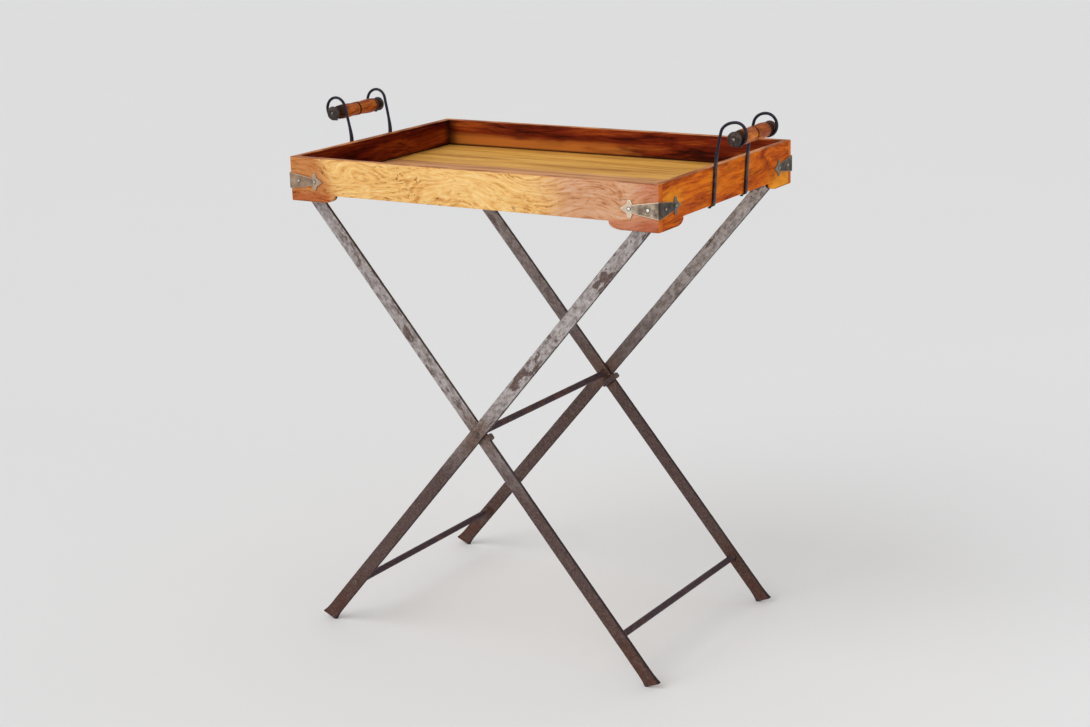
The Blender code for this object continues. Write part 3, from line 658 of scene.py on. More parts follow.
def forgedIronMaterial():
    shader = Shader("forgedIron", Coat_Weight=0.1, Coat_Roughness=0.3)
    fine = shader.noise(shader.here, 260.0, 4.0, 0.65)
    hammer = shader.noise(shader.here, 75.0, 2.0, 0.5)
    x, y, z = shader.axes(shader.here)
    rubbed = z.above(rimTop, (0.012, -0.012)) * hammer.rise(0.40, 0.62)
    colour = shader.mix(rubbed * 0.6, shader.ramp(fine, metalLooks["forged"]), (0.075, 0.058, 0.045))
    relief = hammer * 0.9 + fine * 0.2
    return shader.finish(colour, 0.34 + fine * 0.28, 0.75 - rubbed * 0.25, relief, 0.0008, 0.5)


def bronzeMaterial():
    # tags: worn is 1 at polished edges, under is 1 on the face against the wood
    shader = Shader("agedBronze", Specular_IOR_Level=0.4)
    x, y, z = shader.axes(shader.here)
    cloud = shader.noise(shader.here, 85.0, 4.0, 0.6)
    fine = shader.noise(shader.here, 420.0, 4.0, 0.75)
    worn = (shader.tag("worn") * 1.9 + cloud * 0.8 - 0.50).clamped()
    patina, dull = (shader.ramp(cloud, metalLooks[key]) for key in ("patina", "dull"))
    shortSide = x.size().above(faceX, (-0.0006, 0.0004))
    patina = shader.mix(shortSide * 0.88, patina, dull)
    polished = shader.mix(fine, (0.86, 0.64, 0.45), (0.98, 0.86, 0.70))
    colour = shader.mix(worn * (1 - shortSide * 0.80), patina, polished)
    browned = x.rise(*leftEnd) * (1 - shortSide) * 0.72
    colour = shader.mix(browned, colour, shader.mix(cloud, (0.15, 0.085, 0.055), (0.52, 0.34, 0.22)))
    # near-black underside; the tag also darkens the lower part of the sheet's cut edges, partly a painted
    # shadow line round the strap, partly grime
    under = shader.tag("under").rise(0.25, 0.6)
    colour = shader.mix(under * 0.92, colour, (0.012, 0.008, 0.006))
    metal = (0.62 - worn * 0.35) * (1 - under)
    rough = 0.42 + fine * 0.2 - worn * 0.10
    return shader.finish(colour, rough, metal, cloud + fine * 0.25, 0.0007, 0.45)


def nailMaterial():
    shader = Shader("brightNail")
    fine = shader.noise(shader.here, 900.0, 3.0, 0.6)
    cloud = shader.noise(shader.here, 300.0, 2.0)
    x, y, z = shader.axes(shader.here)
    shortSide = x.size().above(faceX, (0.0002, 0.0010))
    browned = (shortSide * 0.8 + x.rise(*leftEnd) * 0.6).clamped()
    colour = shader.mix(browned, shader.ramp(cloud, metalLooks["nail"]), (0.16, 0.125, 0.09))
    return shader.finish(colour, 0.22 + fine * 0.2, 0.35 + cloud * 0.3, fine, 0.0002, 0.3)


def capNailMaterial():
    shader = Shader("capNail")
    cloud = shader.noise(shader.here, 500.0, 3.0)
    colour = shader.ramp(cloud, metalLooks["capNail"])
    return shader.finish(colour, 0.3 + cloud * 0.3, 0.8 - cloud * 0.2, cloud, 0.0002, 0.3)


# dark rings under the nail heads: painted shadow of the gap round each head, partly patina
def nailSeatMaterial():
    shader = Shader("nailShadowAndPatina")
    fine = shader.noise(shader.here, 700.0, 3.0)
    return shader.finish(shader.mix(fine, (0.012, 0.01, 0.008), (0.05, 0.04, 0.03)), 0.6 + fine * 0.3)


boardShape = {
    "footDrop": 0.0112,  # bracket feet, below the board's lower edge
    "footStep": 0.0022,
    "longFoot": (0.058, 0.020),  # flat and curved lengths
    "shortFoot": (0.0417, 0.018),
    "cornerRound": 0.0018,
    "edgeRound": 0.0013,
    "curveSteps": 18,
    "tallEdge": 0.02,  # upright edges longer than this are the corners
    "grooveGap": 0.0003,
}


def boardOutline(halfLength, top, bottom, foot):
    flat, curved = foot
    lowerEdge = bottom + boardShape["footDrop"]
    stepEdge = lowerEdge - boardShape["footStep"]
    start = halfLength - flat
    half = [(halfLength, top), (halfLength, bottom)]
    for step in range(boardShape["curveSteps"] + 1):
        turn = math.radians(90 * step / boardShape["curveSteps"])
        half.append((start - curved * math.sin(turn), stepEdge - (stepEdge - bottom) * math.cos(turn)))
    half.append((start - curved, lowerEdge))
    return half + [(-along, up) for along, up in reversed(half)]


def buildBoard(node, long, material, slot):
    low, high = (Vector(corner) for corner in corners[node])
    axis = 0 if long else 1
    across = 1 - axis
    centre = (low + high) / 2
    foot = boardShape["longFoot" if long else "shortFoot"]
    outline = boardOutline((high[axis] - low[axis]) / 2, high.z, low.z, foot)
    bm = bmesh.new()
    loops = []
    for face in (low[across], high[across]):
        loop = []
        for along, up in outline:
            point = Vector((0, 0, up))
            point[axis] = centre[axis] + along
            point[across] = face
            loop.append(bm.verts.new(point))
        loops.append(loop)
    for side in range(len(outline)):
        bm.faces.new((loops[0][side - 1], loops[0][side], loops[1][side], loops[1][side - 1]))
    for loop in loops:
        bm.faces.new(loop)
    bmesh.ops.recalc_face_normals(bm, faces=bm.faces)
    outer = high[across] if centre[across] > 0 else low[across]
    if long:  # the tray's upright corners are the most rounded
        uprights = [edge for edge in bm.edges
                    if all(abs(vert.co[across] - outer) < 1e-5 for vert in edge.verts)
                    and all(abs(abs(vert.co[axis]) - high[axis]) < 1e-5 for vert in edge.verts)]
        roundEdges(bm, uprights, boardShape["cornerRound"], 5)
    joint = high[axis] - boardShape["edgeRound"]
    rest = [edge for edge in bm.edges
            if len(edge.link_faces) == 2 and edge.calc_face_angle(0) > math.radians(50)
            and not (abs(edge.verts[0].co.z - edge.verts[1].co.z) > boardShape["tallEdge"]
                     and abs(edge.verts[0].co[axis]) > joint)]
    roundEdges(bm, rest, boardShape["edgeRound"], 4)
    mesh = meshFrom(bm, node + "Wood", 30)
    piece = placed(node + "Wood", mesh)
    cutGroove(piece)
    bpy.data.objects.remove(piece)
    addPiece(mesh, node + "Wood", material, "tray", slot, node)


def cutGroove(piece):
    # the floor planks run into this groove
    gap = Vector((1, 1, 1)) * boardShape["grooveGap"]
    low = Vector(corners["floor_plank_1"][0]) - gap
    high = Vector(corners["floor_plank_5"][1]) + gap
    bm = bmesh.new()
    place = Matrix.Translation((low + high) / 2) @ Matrix.Diagonal((*(high - low), 1.0))
    bmesh.ops.create_cube(bm, size=1.0, matrix=place)
    tool = placed("grooveTool", meshFrom(bm, "grooveTool"))
    cut = piece.modifiers.new("groove", "BOOLEAN")
    cut.operation = "DIFFERENCE"
    cut.solver = "EXACT"
    cut.object = tool
    bm = bmesh.new()
    bm.from_mesh(plainMesh(piece))
    bm.to_mesh(piece.data)
    bm.free()
    piece.data.shade_smooth()
    piece.data.set_sharp_from_angle(angle=math.radians(30))
    bpy.data.objects.remove(tool)


boardList = (  # name, long, look, seed, facing, slot
    ("front", True, burlGold, 1.0, 1, "golden_wood"),
    ("back", True, burlGold, 2.6, -1, "golden_wood"),
    ("right", False, flameOrange, 4.2, 1, "red_wood"),
    ("left", False, flameOrange, 7.4, 1, "red_wood"),
)


def buildTray():
    for name, long, look, seed, facing, slot in boardList:
        node = name + "_board"
        material = boardMaterial(name + "BoardWood", node, long, look, seed, facing)
        buildBoard(node, long, material, slot)
    for number in range(1, 6):
        node = "floor_plank_%d" % number
        low, high = corners[node]
        look = rosyFloor if number == 3 else ochreFloor
        material = plankMaterial("plankWood%d" % number, look, number * 2.3, low[1], high[1])
        slots = frame["nodes"][node].data.materials
        slots.clear()
        slots.append(material)
    print("tray boards and floor built")


strapShape = {
    "sheet": 0.0015,
    "foldRadius": 0.0013,
    "fromWood": 0.0003,
    "drop": 0.0355,  # centre line, below the rim
    "waist": [(0.0, 0.0120), (0.010, 0.0104), (0.020, 0.0090), (0.030, 0.0074), (0.0388, 0.0060)],
    "undercut": [(0.0388, 0.0060), (0.0408, 0.0066), (0.0411, 0.0090)],
    "lobeCentre": (0.0448, 0.0093),
    "lobeRadius": 0.0032,
    "lobeStart": 168,
    "lobeSweep": -182,
    "lobeSteps": 14,
    "shoulder": [(0.0488, 0.0068), (0.0502, 0.0056)],
    "tip": [(0.0577, 0.0009), (0.0585, 0.0)],
    "wornWidth": 0.0010,
    "wornTip": 0.40,  # how bright the lobes and tip are
    "edgeRound": 0.0004,
    "cutEvery": 0.006,
}


def strapOutline():
    # one arm's upper edge from the fold to the tip, then mirrored to both arms
    shape = strapShape
    lobe = []
    for step in range(shape["lobeSteps"] + 1):
        turn = math.radians(shape["lobeStart"] + shape["lobeSweep"] * step / shape["lobeSteps"])
        lobe.append((shape["lobeCentre"][0] + shape["lobeRadius"] * math.cos(turn),
                     shape["lobeCentre"][1] + shape["lobeRadius"] * math.sin(turn)))
    shoulder = smoothLine([lobe[-1]] + shape["shoulder"], 4)[1:]
    half = shape["waist"] + smoothLine(shape["undercut"], 4)[1:] + lobe + shoulder + shape["tip"]
    right = half + [(along, -up) for along, up in reversed(half[:-1])]
    left = [(-along, up) for along, up in reversed(right[1:-1])]
    return right + left


def distanceTo(point, start, end):
    # in the flat sheet, from a point to the line between two others
    span = (end - start).to_2d()
    away = (point - start).to_2d()
    share = min(1.0, max(0.0, away.dot(span) / max(span.length_squared, 1e-12)))
    return (away - span * share).length


def strapMesh(name, centre, turn):
    # the sheet is cut flat, then folded round the corner
    sheet, foldRadius = strapShape["sheet"], strapShape["foldRadius"]
    bend = foldRadius * math.pi / 4
    slack = foldRadius - strapShape["fromWood"] - bend
    bm = bmesh.new()
    worn = bm.verts.layers.float.new("worn")
    under = bm.verts.layers.float.new("under")
    outline = [Vector((math.copysign(max(abs(along) - slack, 0.0), along), up, sheet / 2))
               for along, up in strapOutline()]
    ring = [bm.verts.new(point) for point in outline]
    bm.faces.new(ring)
    bm.normal_update()
    bmesh.ops.inset_region(bm, faces=bm.faces[:], thickness=strapShape["wornWidth"],
                           use_even_offset=True, use_boundary=True)
    sunk = bmesh.ops.extrude_face_region(bm, geom=bm.faces[:])
    moved = [item for item in sunk["geom"] if isinstance(item, bmesh.types.BMVert)]
    bmesh.ops.translate(bm, vec=(0, 0, -sheet), verts=moved)
    bmesh.ops.recalc_face_normals(bm, faces=bm.faces)
    rimEdges = [edge for edge in bm.edges
                if len(edge.link_faces) == 2 and edge.calc_face_angle(0) > math.radians(60)
                and all(vert.co.z > 0 for vert in edge.verts)]
    roundEdges(bm, rimEdges, strapShape["edgeRound"], 3)
    cuts = [bend * step / 3 for step in range(-3, 4)]
    cuts += [side * strapShape["cutEvery"] * step for side in (-1, 1) for step in range(1, 7)]
    for place in cuts:
        geometry = bm.verts[:] + bm.edges[:] + bm.faces[:]
        bmesh.ops.bisect_plane(bm, geom=geometry, plane_co=(place, 0, 0), plane_no=(1, 0, 0), dist=1e-7)
    for vert in bm.verts:
        along, up, outward = vert.co
        fromEdge = min(distanceTo(vert.co, outline[number - 1], outline[number])
                       for number in range(len(outline)))
        vert[worn] = max(0.0, 1 - fromEdge / strapShape["wornWidth"])
        if abs(along) > strapShape["lobeCentre"][0] - 0.003:
            vert[worn] = max(vert[worn], strapShape["wornTip"])
        vert[under] = 1.0 if outward < -sheet / 4 else 0.0
        radius = foldRadius + sheet / 2 + outward
        if abs(along) <= bend + 1e-7:
            swing = math.radians(-45 + 45 * along / bend)
            vert.co = (radius * math.cos(swing), radius * math.sin(swing), up)
        elif along < 0:
            vert.co = (along + bend, -radius, up)
        else:
            vert.co = (radius, along - bend, up)
    bmesh.ops.transform(bm, matrix=Matrix.Translation(centre) @ turn, verts=bm.verts)
    return meshFrom(bm, name, 40)


def buildStraps(bronze):
    height = rimTop - strapShape["drop"]
    places = (("front_right", 1, -1), ("back_right", 1, 1),
              ("back_left", -1, 1), ("front_left", -1, -1))
    inset = strapShape["foldRadius"] - strapShape["fromWood"]
    for number, (corner, sideX, sideY) in enumerate(places):
        centre = Vector((sideX * (faceX - inset), sideY * (faceY - inset), height))
        turn = Matrix.Rotation(math.radians(90 * number), 4, "Z")
        name = "cornerStrap_" + corner
        mesh = strapMesh(name, centre, turn)
        addPiece(mesh, name, bronze, "tray", "aged_bronze", "corner_strap_" + corner)
    print("corner straps built")


nailSizes = {  # radius and height
    "strap": (0.0025, 0.0015),
    "cap": (0.0022, 0.0012),
    "screw": (0.0026, 0.0010),
    "seat": (0.0031, 0.00022),
    "strapSpread": 0.10,
    "seed": 7,
    "segments": 28,
    "rings": 14,
}


def headTree(material):
    # domed heads on points, each turned to its point's facing and a little different in size
    tree = bpy.data.node_groups.new("domedHeads", "GeometryNodeTree")
    tree.interface.new_socket("Geometry", in_out="INPUT", socket_type="NodeSocketGeometry")
    sizes = {}
    for name in ("Head radius", "Dome height", "Size spread"):
        sizes[name] = tree.interface.new_socket(name, in_out="INPUT", socket_type="NodeSocketFloat")
    tree.interface.new_socket("Geometry", in_out="OUTPUT", socket_type="NodeSocketGeometry")

    def add(kind, settings, inputs):
        node = tree.nodes.new(kind)
        for key, value in settings.items():
            setattr(node, key, value)
        for key, value in inputs.items():
            if isinstance(value, bpy.types.NodeSocket):
                tree.links.new(value, node.inputs[key])
            else:
                node.inputs[key].default_value = value
        return node.outputs

    start = add("NodeGroupInput", {}, {})
    shape = {"Segments": nailSizes["segments"], "Rings": nailSizes["rings"], "Radius": 1.0}
    ball = add("GeometryNodeMeshUVSphere", {}, shape)["Mesh"]
    smooth = add("GeometryNodeSetShadeSmooth", {}, {0: ball})[0]
    radius, dome, spread = start["Head radius"], start["Dome height"], start["Size spread"]
    scale = add("ShaderNodeCombineXYZ", {}, {0: radius, 1: radius, 2: dome})[0]
    least = add("ShaderNodeMath", {"operation": "SUBTRACT"}, {0: 1.0, 1: spread})[0]
    drawn = {"Seed": nailSizes["seed"], 2: least, 3: 1.0}
    share = add("FunctionNodeRandomValue", {"data_type": "FLOAT"}, drawn)[1]
    size = add("ShaderNodeVectorMath", {"operation": "SCALE"}, {0: scale, "Scale": share})[0]
    named = {"data_type": "FLOAT_VECTOR"}
    facing = add("GeometryNodeInputNamedAttribute", named, {"Name": "facing"})[0]
    turn = add("FunctionNodeAlignRotationToVector", {"axis": "Z"}, {"Vector": facing})[0]
    onPoints = {"Points": start["Geometry"], "Instance": smooth, "Rotation": turn, "Scale": size}
    heads = add("GeometryNodeInstanceOnPoints", {}, onPoints)[0]
    real = add("GeometryNodeRealizeInstances", {}, {0: heads})[0]
    painted = add("GeometryNodeSetMaterial", {}, {"Geometry": real, "Material": material})[0]
    add("NodeGroupOutput", {}, {0: painted})
    return tree, {name: socket.identifier for name, socket in sizes.items()}


def headsMesh(name, seats, heads, size, spread=0.0):
    # seats are (place, facing) pairs; the result is one plain mesh
    tree, identifiers = heads
    points = bpy.data.meshes.new(name)
    points.from_pydata([place for place, facing in seats], [], [])
    facings = points.attributes.new("facing", "FLOAT_VECTOR", "POINT")
    for item, (place, facing) in zip(facings.data, seats):
        item.vector = facing
    carrier = placed(name, points)
    grow = carrier.modifiers.new("heads", "NODES")
    grow.node_group = tree
    values = {"Head radius": size[0], "Dome height": size[1], "Size spread": spread}
    for key, value in values.items():
        grow[identifiers[key]] = value
    mesh = plainMesh(carrier)
    bpy.data.objects.remove(carrier)
    return mesh


def nailSeat(node, facing, size):
    # where a head sits, from the outermost point of its part
    low, high = corners[node]
    place = middleOf(node)
    for axis in range(3):
        if facing[axis]:
            place[axis] = (high if facing[axis] > 0 else low)[axis] - facing[axis] * size[1]
    return place, facing


def buildNails(nailMetal, capMetal, seatMetal, iron):
    nails, caps, rings, screws = (headTree(metal) for metal in (nailMetal, capMetal, seatMetal, iron))
    outwards = {
        "front_right": ((0, -1, 0), (1, 0, 0)), "back_right": ((1, 0, 0), (0, 1, 0)),
        "back_left": ((0, 1, 0), (-1, 0, 0)), "front_left": ((-1, 0, 0), (0, -1, 0)),
    }
    facings = {"strap_nail_%s_%d%s" % (corner, arm, letter): facing
               for corner, arms in outwards.items()
               for arm, facing in enumerate(arms, start=1) for letter in "ab"}
    seats = [nailSeat(node, facing, nailSizes["strap"]) for node, facing in facings.items()]
    mesh = headsMesh("strapNails", seats, nails, nailSizes["strap"], nailSizes["strapSpread"])
    addPiece(mesh, "strapNails", nailMetal, "tray", "bright_nail", *facings)
    # dark rings round the heads: painted shadow, partly patina
    mesh = headsMesh("nailRings", seats, rings, nailSizes["seat"])
    addPiece(mesh, "nailRings", seatMetal, "tray", "aged_bronze")
    for side in ("right", "left"):
        nodes = ["cap_nail_%s_%s" % (side, end) for end in ("front", "back")]
        capSeats = [nailSeat(node, (0, way, 0), nailSizes["cap"]) for node, way in zip(nodes, (-1, 1))]
        mesh = headsMesh("capNails_" + side, capSeats, caps, nailSizes["cap"])
        addPiece(mesh, "capNails_" + side, capMetal, "grip_" + side, "bright_nail", *nodes)
    nodes = ["strap_screw_%s_%s" % (side, end)
             for side in ("right", "left") for end in ("front", "back")]
    under = [nailSeat(node, (0, 0, -1), nailSizes["screw"]) for node in nodes]
    mesh = headsMesh("strapScrews", under, screws, nailSizes["screw"])
    addPiece(mesh, "strapScrews", iron, "tray", "forged_iron", *nodes)
    print("nails and screws placed:", len(seats) + 2 * len(nodes))


handleShape = {
    "spacing": 0.101,
    "shift": {"right": 0.0055, "left": -0.0015},
    "lean": 0.13,  # below the rim
    "loopLean": {"right_front": 0.096, "right_back": 0.020, "left_front": 0.043, "left_back": 0.110},
    "barWidth": 0.0075,
    "barThickness": 0.003,
    "rod": 0.0022,
    "bend": 0.003,
    "foot": 0.0088,
    "loopOut": {"right": 0.0305, "left": 0.0300},
    "loopUp": {"right": 0.0444, "left": 0.0482},
    "loopRadius": {"right": 0.0165, "left": 0.0170},
    "tip": 0.55,  # the rod's end is drawn down to this share
    # how much wider each loop is towards the tray
    "inward": {"right_front": 1.38, "right_back": 1.20, "left_front": 1.0, "left_back": 1.0},
    "loopStart": 166,
    "loopEnd": -99,
    "stemStart": 0.002,  # above the rim
    "sweep": 0.035,  # how far the bar keeps its way as it leaves the rim and meets the loop
    "loopSteps": 56,
    "taperSteps": 14,
    "boardHeight": 0.0545,
    "gap": 0.0003,
}


def handlePath(label):
    shape = handleShape
    sideName = label.split("_")[0]
    inward = shape["inward"][label]
    loopOut, loopUp, loopRadius = (shape[key][sideName] for key in ("loopOut", "loopUp", "loopRadius"))
    barOut = shape["gap"] + shape["barThickness"] / 2
    footUp = -shape["boardHeight"] - shape["gap"] - shape["barThickness"] * 0.30
    path = [(barOut - shape["foot"], footUp, 0.0), (barOut - shape["foot"] * 0.6, footUp, 0.0)]
    for step in range(9):
        turn = math.radians(-90 + 90 * step / 8)
        path.append((barOut + shape["bend"] * (math.cos(turn) - 1),
                     footUp + shape["bend"] * (math.sin(turn) + 1), 0.0))
    for step in range(1, 13):
        share = step / 12.5
        up = (footUp + shape["bend"]) * (1 - share) - shape["stemStart"] * share
        path.append((barOut, up, 0.0))
    turn = math.radians(shape["loopStart"])
    start = Vector((barOut, shape["stemStart"]))
    end = Vector((loopOut + loopRadius * math.cos(turn) * inward, loopUp + loopRadius * math.sin(turn)))
    leave = Vector((0.0, shape["sweep"]))
    arrive = Vector((math.sin(turn), -math.cos(turn))) * shape["sweep"]
    for step in range(24):
        t = step / 24
        point = (2 * t**3 - 3 * t**2 + 1) * start + (3 * t**2 - 2 * t**3) * end
        point += (t**3 - 2 * t**2 + t) * leave + (t**3 - t**2) * arrive
        path.append((point.x, point.y, min(1.0, 2.5 * t)))
    for step in range(shape["loopSteps"] + 1):
        sweep = shape["loopEnd"] - shape["loopStart"]
        turn = math.radians(shape["loopStart"] + sweep * step / shape["loopSteps"])
        stretch = inward if 0 < turn and math.cos(turn) < 0 else 1.0
        out = loopOut + loopRadius * math.cos(turn) * stretch
        path.append((out, loopUp + loopRadius * math.sin(turn), 1.0))
    return path


def barSection(share, sides=24):
    # a soft-cornered flat bar at 0, a round rod at 1, as (across, through) points
    rod = handleShape["rod"]
    halfWidth = handleShape["barWidth"] / 2 + share * (rod - handleShape["barWidth"] / 2)
    halfDepth = handleShape["barThickness"] / 2 + share * (rod - handleShape["barThickness"] / 2)
    power = 2.0 + 5.0 * (1 - share)
    points = []
    for side in range(sides):
        turn = 2 * math.pi * (side + 0.5) / sides
        c, s = math.cos(turn), math.sin(turn)
        reach = (abs(c) ** power + abs(s) ** power) ** (-1 / power)
        points.append((halfWidth * c * reach, halfDepth * s * reach))
    return points


def handleMesh(label, side, rimY):
    path = handlePath(label)
    centres = []
    for out, up, share in path:
        lean = handleShape["loopLean"][label] if up > 0 else handleShape["lean"]
        centres.append(Vector((side * (faceX + out), rimY + lean * up, rimTop + up)))
    rings = []
    for number, centre in enumerate(centres):
        before = centres[max(number - 1, 0)]
        after = centres[min(number + 1, len(centres) - 1)]
        along = (after - before).normalized()
        across = (Vector((0, 1, 0)) - along * along.y).normalized()
        through = along.cross(across)
        fromEnd = len(centres) - 1 - number
        size = (0.55, 0.88, 1.0)[min(number, fromEnd, 2)]
        drawnDown = max(0.0, 1 - fromEnd / handleShape["taperSteps"])
        size *= 1 - (1 - handleShape["tip"]) * drawnDown
        beaten = 1.0 - 0.05 * abs(noise.noise(centre * 110))
        flat = 0.6 if path[number][1] < -handleShape["boardHeight"] else 1.0
        section = barSection(path[number][2])
        rings.append([centre + (across * a + through * (b * flat)) * size * beaten for a, b in section])
    return loft(rings, "handleStrap_" + label, 40)


gripShape = {
    "neck": 0.0079,
    "neckMiddle": {"right": 0.0494, "left": 0.0515},
    "neckHalf": 0.0035,
    "capLength": 0.0056,
    "gap": 0.0003,
    "sides": 56,
    "uneven": 0.0001,
    "capUneven": 0.00015,
}

# half of the grip, as (share of the way from its middle to its neck, radius, how burnt it is)
gripProfile = [
    (0.000, 0.0090, 1.0), (0.022, 0.0088, 1.0), (0.039, 0.0097, 0.7), (0.057, 0.0104, 0.2),
    (0.092, 0.0105, 0.0), (0.131, 0.0100, 0.0), (0.148, 0.0097, 0.5), (0.166, 0.0100, 0.1),
    (0.284, 0.0102, 0.0), (0.415, 0.0107, 0.0), (0.546, 0.0110, 0.0), (0.655, 0.0111, 0.1),
    (0.764, 0.0109, 0.2), (0.840, 0.0106, 0.4), (0.862, 0.0101, 0.9), (0.880, 0.0100, 0.9),
    (0.900, 0.0104, 0.6), (0.943, 0.0103, 0.7), (0.978, 0.0094, 0.9), (0.993, 0.0084, 1.0),
    (1.000, 0.0079, 1.0),
]

# a cap's section, as (radius, share of its length from the grip outwards)
capProfile = [
    (0.0, 0.0), (0.0088, 0.0), (0.0099, 0.14), (0.0106, 0.34), (0.0108, 0.54), (0.0107, 0.74),
    (0.0101, 0.90), (0.0092, 0.975), (0.0080, 1.0), (0.0071, 0.95), (0.0063, 1.0), (0.0042, 1.0),
    (0.0034, 0.955), (0.0, 0.955),
]


def buildHandles(iron, turnedWood, burntWood):
    for sideName, side in (("right", 1), ("left", -1)):
        for endName, end in (("front", -1), ("back", 1)):
            rimY = handleShape["shift"][sideName] + end * handleShape["spacing"] / 2
            name = "%s_%s" % (sideName, endName)
            mesh = handleMesh(name, side, rimY)
            addPiece(mesh, "handleStrap_" + name, iron, "tray", "forged_iron", "handle_strap_" + name)
        centre = Vector(joints["grip_spin_" + sideName]["pos_m"])
        neckMiddle, neckHalf = gripShape["neckMiddle"][sideName], gripShape["neckHalf"]
        neckStart, bodyEnd = neckMiddle - neckHalf, neckMiddle + neckHalf
        half = [(share * neckStart, radius, burnt)
                for share, radius, burnt in smoothLine(gripProfile, 3)]
        half.append((bodyEnd, gripShape["neck"], 1.0))
        whole = [(-along, radius, burnt) for along, radius, burnt in reversed(half[1:])] + half
        whole = [(whole[0][0], 0.0, 1.0)] + whole + [(whole[-1][0], 0.0, 1.0)]
        profile = [(radius, along) for along, radius, burnt in whole]
        tags = {"burnt": [burnt for along, radius, burnt in whole]}
        name, body = "grip_%sWood" % sideName, "grip_" + sideName
        mesh = turned(profile, centre, name, gripShape["sides"], 50, tags, gripShape["uneven"])
        addPiece(mesh, name, turnedWood, body, "turned_wood", body)
        for endName, way in (("front", -1), ("back", 1)):
            start = bodyEnd + gripShape["gap"]
            length = gripShape["capLength"]
            profile = [(radius, (start + share * length) * way) for radius, share in capProfile]
            name = "%s_%s" % (sideName, endName)
            mesh = turned(profile, centre, "gripCap_" + name, 48, 32, None, gripShape["capUneven"])
            addPiece(mesh, "gripCap_" + name, burntWood, body, "burnt_wood", "grip_cap_" + name)
    print("handles built")


legShape = {
    "width": 0.021,
    "bearing": 0.010,  # level facet on the corner that bears
    "outerAngle": 40.8,
    "innerAngle": 40.0,
    "edgeRound": 0.0011,
    "rings": 170,
    "wander": 0.00035,
    "nicks": 0.00030,
    "splay": 0.22,  # the feet are beaten wider at their ends
    "splayReach": 0.022,
}


def roundedSection(halfWidth, halfDepth, radius, steps=4):
    points = []
    for cornerAngle, signWidth, signDepth in ((0, 1, 1), (90, -1, 1), (180, -1, -1), (270, 1, -1)):
        for step in range(steps + 1):
            turn = math.radians(cornerAngle + 90 * step / steps)
            points.append((signWidth * (halfWidth - radius) + radius * math.cos(turn),
                           signDepth * (halfDepth - radius) + radius * math.sin(turn)))
    return points


def legMesh(name, node, lean, angle):
    low, high = (Vector(corner) for corner in corners[node])
    pivot = foldPivot
    half = legShape["width"] / 2
    sine, cosine = math.sin(math.radians(angle)), math.cos(math.radians(angle))
    ground = half - legShape["bearing"] * cosine
    worn = legShape["bearing"] * sine
    foot = (pivot.z - low.z - ground * sine) / cosine
    top = (high.z - pivot.z - ground * sine) / cosine
    along = Vector((lean * sine, 0, cosine))
    across = Vector((lean * cosine, 0, -sine))
    middle = Vector((pivot.x, (low.y + high.y) / 2, pivot.z))
    halfDepth = (high.y - low.y) / 2
    section = roundedSection(half, halfDepth, legShape["edgeRound"])
    rounding = legShape["edgeRound"]
    rings = []
    shares = [(0.0, 0.92), (0.0, 0.97), (rounding * 0.3, 0.995)]
    for step in range(legShape["rings"] + 1):
        shares.append((rounding + (foot + top - 2 * rounding) * step / legShape["rings"], 1.0))
    shares += [(foot + top - rounding * 0.3, 0.995), (foot + top, 0.97), (foot + top, 0.92)]
    for distance, size in shares:
        share = distance / (foot + top)
        ring = []
        splay = 1 + legShape["splay"] * max(0.0, 1 - distance / legShape["splayReach"]) ** 2
        for width, depth in section:
            width, depth = width * size * splay, depth * size
            start = -foot + max(0.0, width - ground) / (half - ground) * worn
            end = top - max(0.0, -ground - width) / (half - ground) * worn
            place = start + (end - start) * share
            spot = middle + along * place
            drift = noise.noise(Vector((place * 7, pivot.x, middle.y * 40))) * legShape["wander"]
            nick = noise.noise((spot + across * width) * 90) * legShape["nicks"]
            edge = abs(width) / half
            width -= math.copysign(abs(nick) * edge, width)
            ring.append(spot + across * (width + drift) + Vector((0, depth, 0)))
        rings.append(ring)
    return loft(rings, name, 38)


barShape = {
    "radius": 0.005,
    "chamfer": 0.0004,
    "rivetHead": 0.0051,
    "rivetDome": 0.0026,
    "tenon": 0.0035,
    "gap": 0.0003,
    "steps": 40,
    "uneven": 0.0002,
}


def crossBar(name, node, body, material, riveted, shoulder):
    # round bar along Y; a riveted one has tenons through the legs and hammered heads outside them
    low, high = corners[node]
    reach = (high[1] - low[1]) / 2
    radius, chamfer, steps = (barShape[key] for key in ("radius", "chamfer", "steps"))
    if riveted:
        base = reach - barShape["rivetDome"]
        half = []
        for step in range(9):
            turn = math.radians(90 * step / 8)
            half.append((barShape["rivetHead"] * math.sin(turn),
                         base + barShape["rivetDome"] * math.cos(turn)))
        half += [(barShape["tenon"], base), (barShape["tenon"], shoulder)]
        end = shoulder
    else:
        end = reach
        half = [(0.0, end)]
    half += [(radius - chamfer, end), (radius, end - chamfer)]
    half += [(radius, end * (1 - step / steps)) for step in range(1, steps + 1)]
    whole = [(radius, -along) for radius, along in half[:-1]] + list(reversed(half))
    mesh = turned(whole, middleOf(node), name, 24, 40, None, barShape["uneven"])
    addPiece(mesh, name, material, body, "rusty_iron", node)


weldShape = {
    "bead": 0.0019,
    "lumps": 0.0009,
    "sides": 12,
    "spread": 1.1,
}


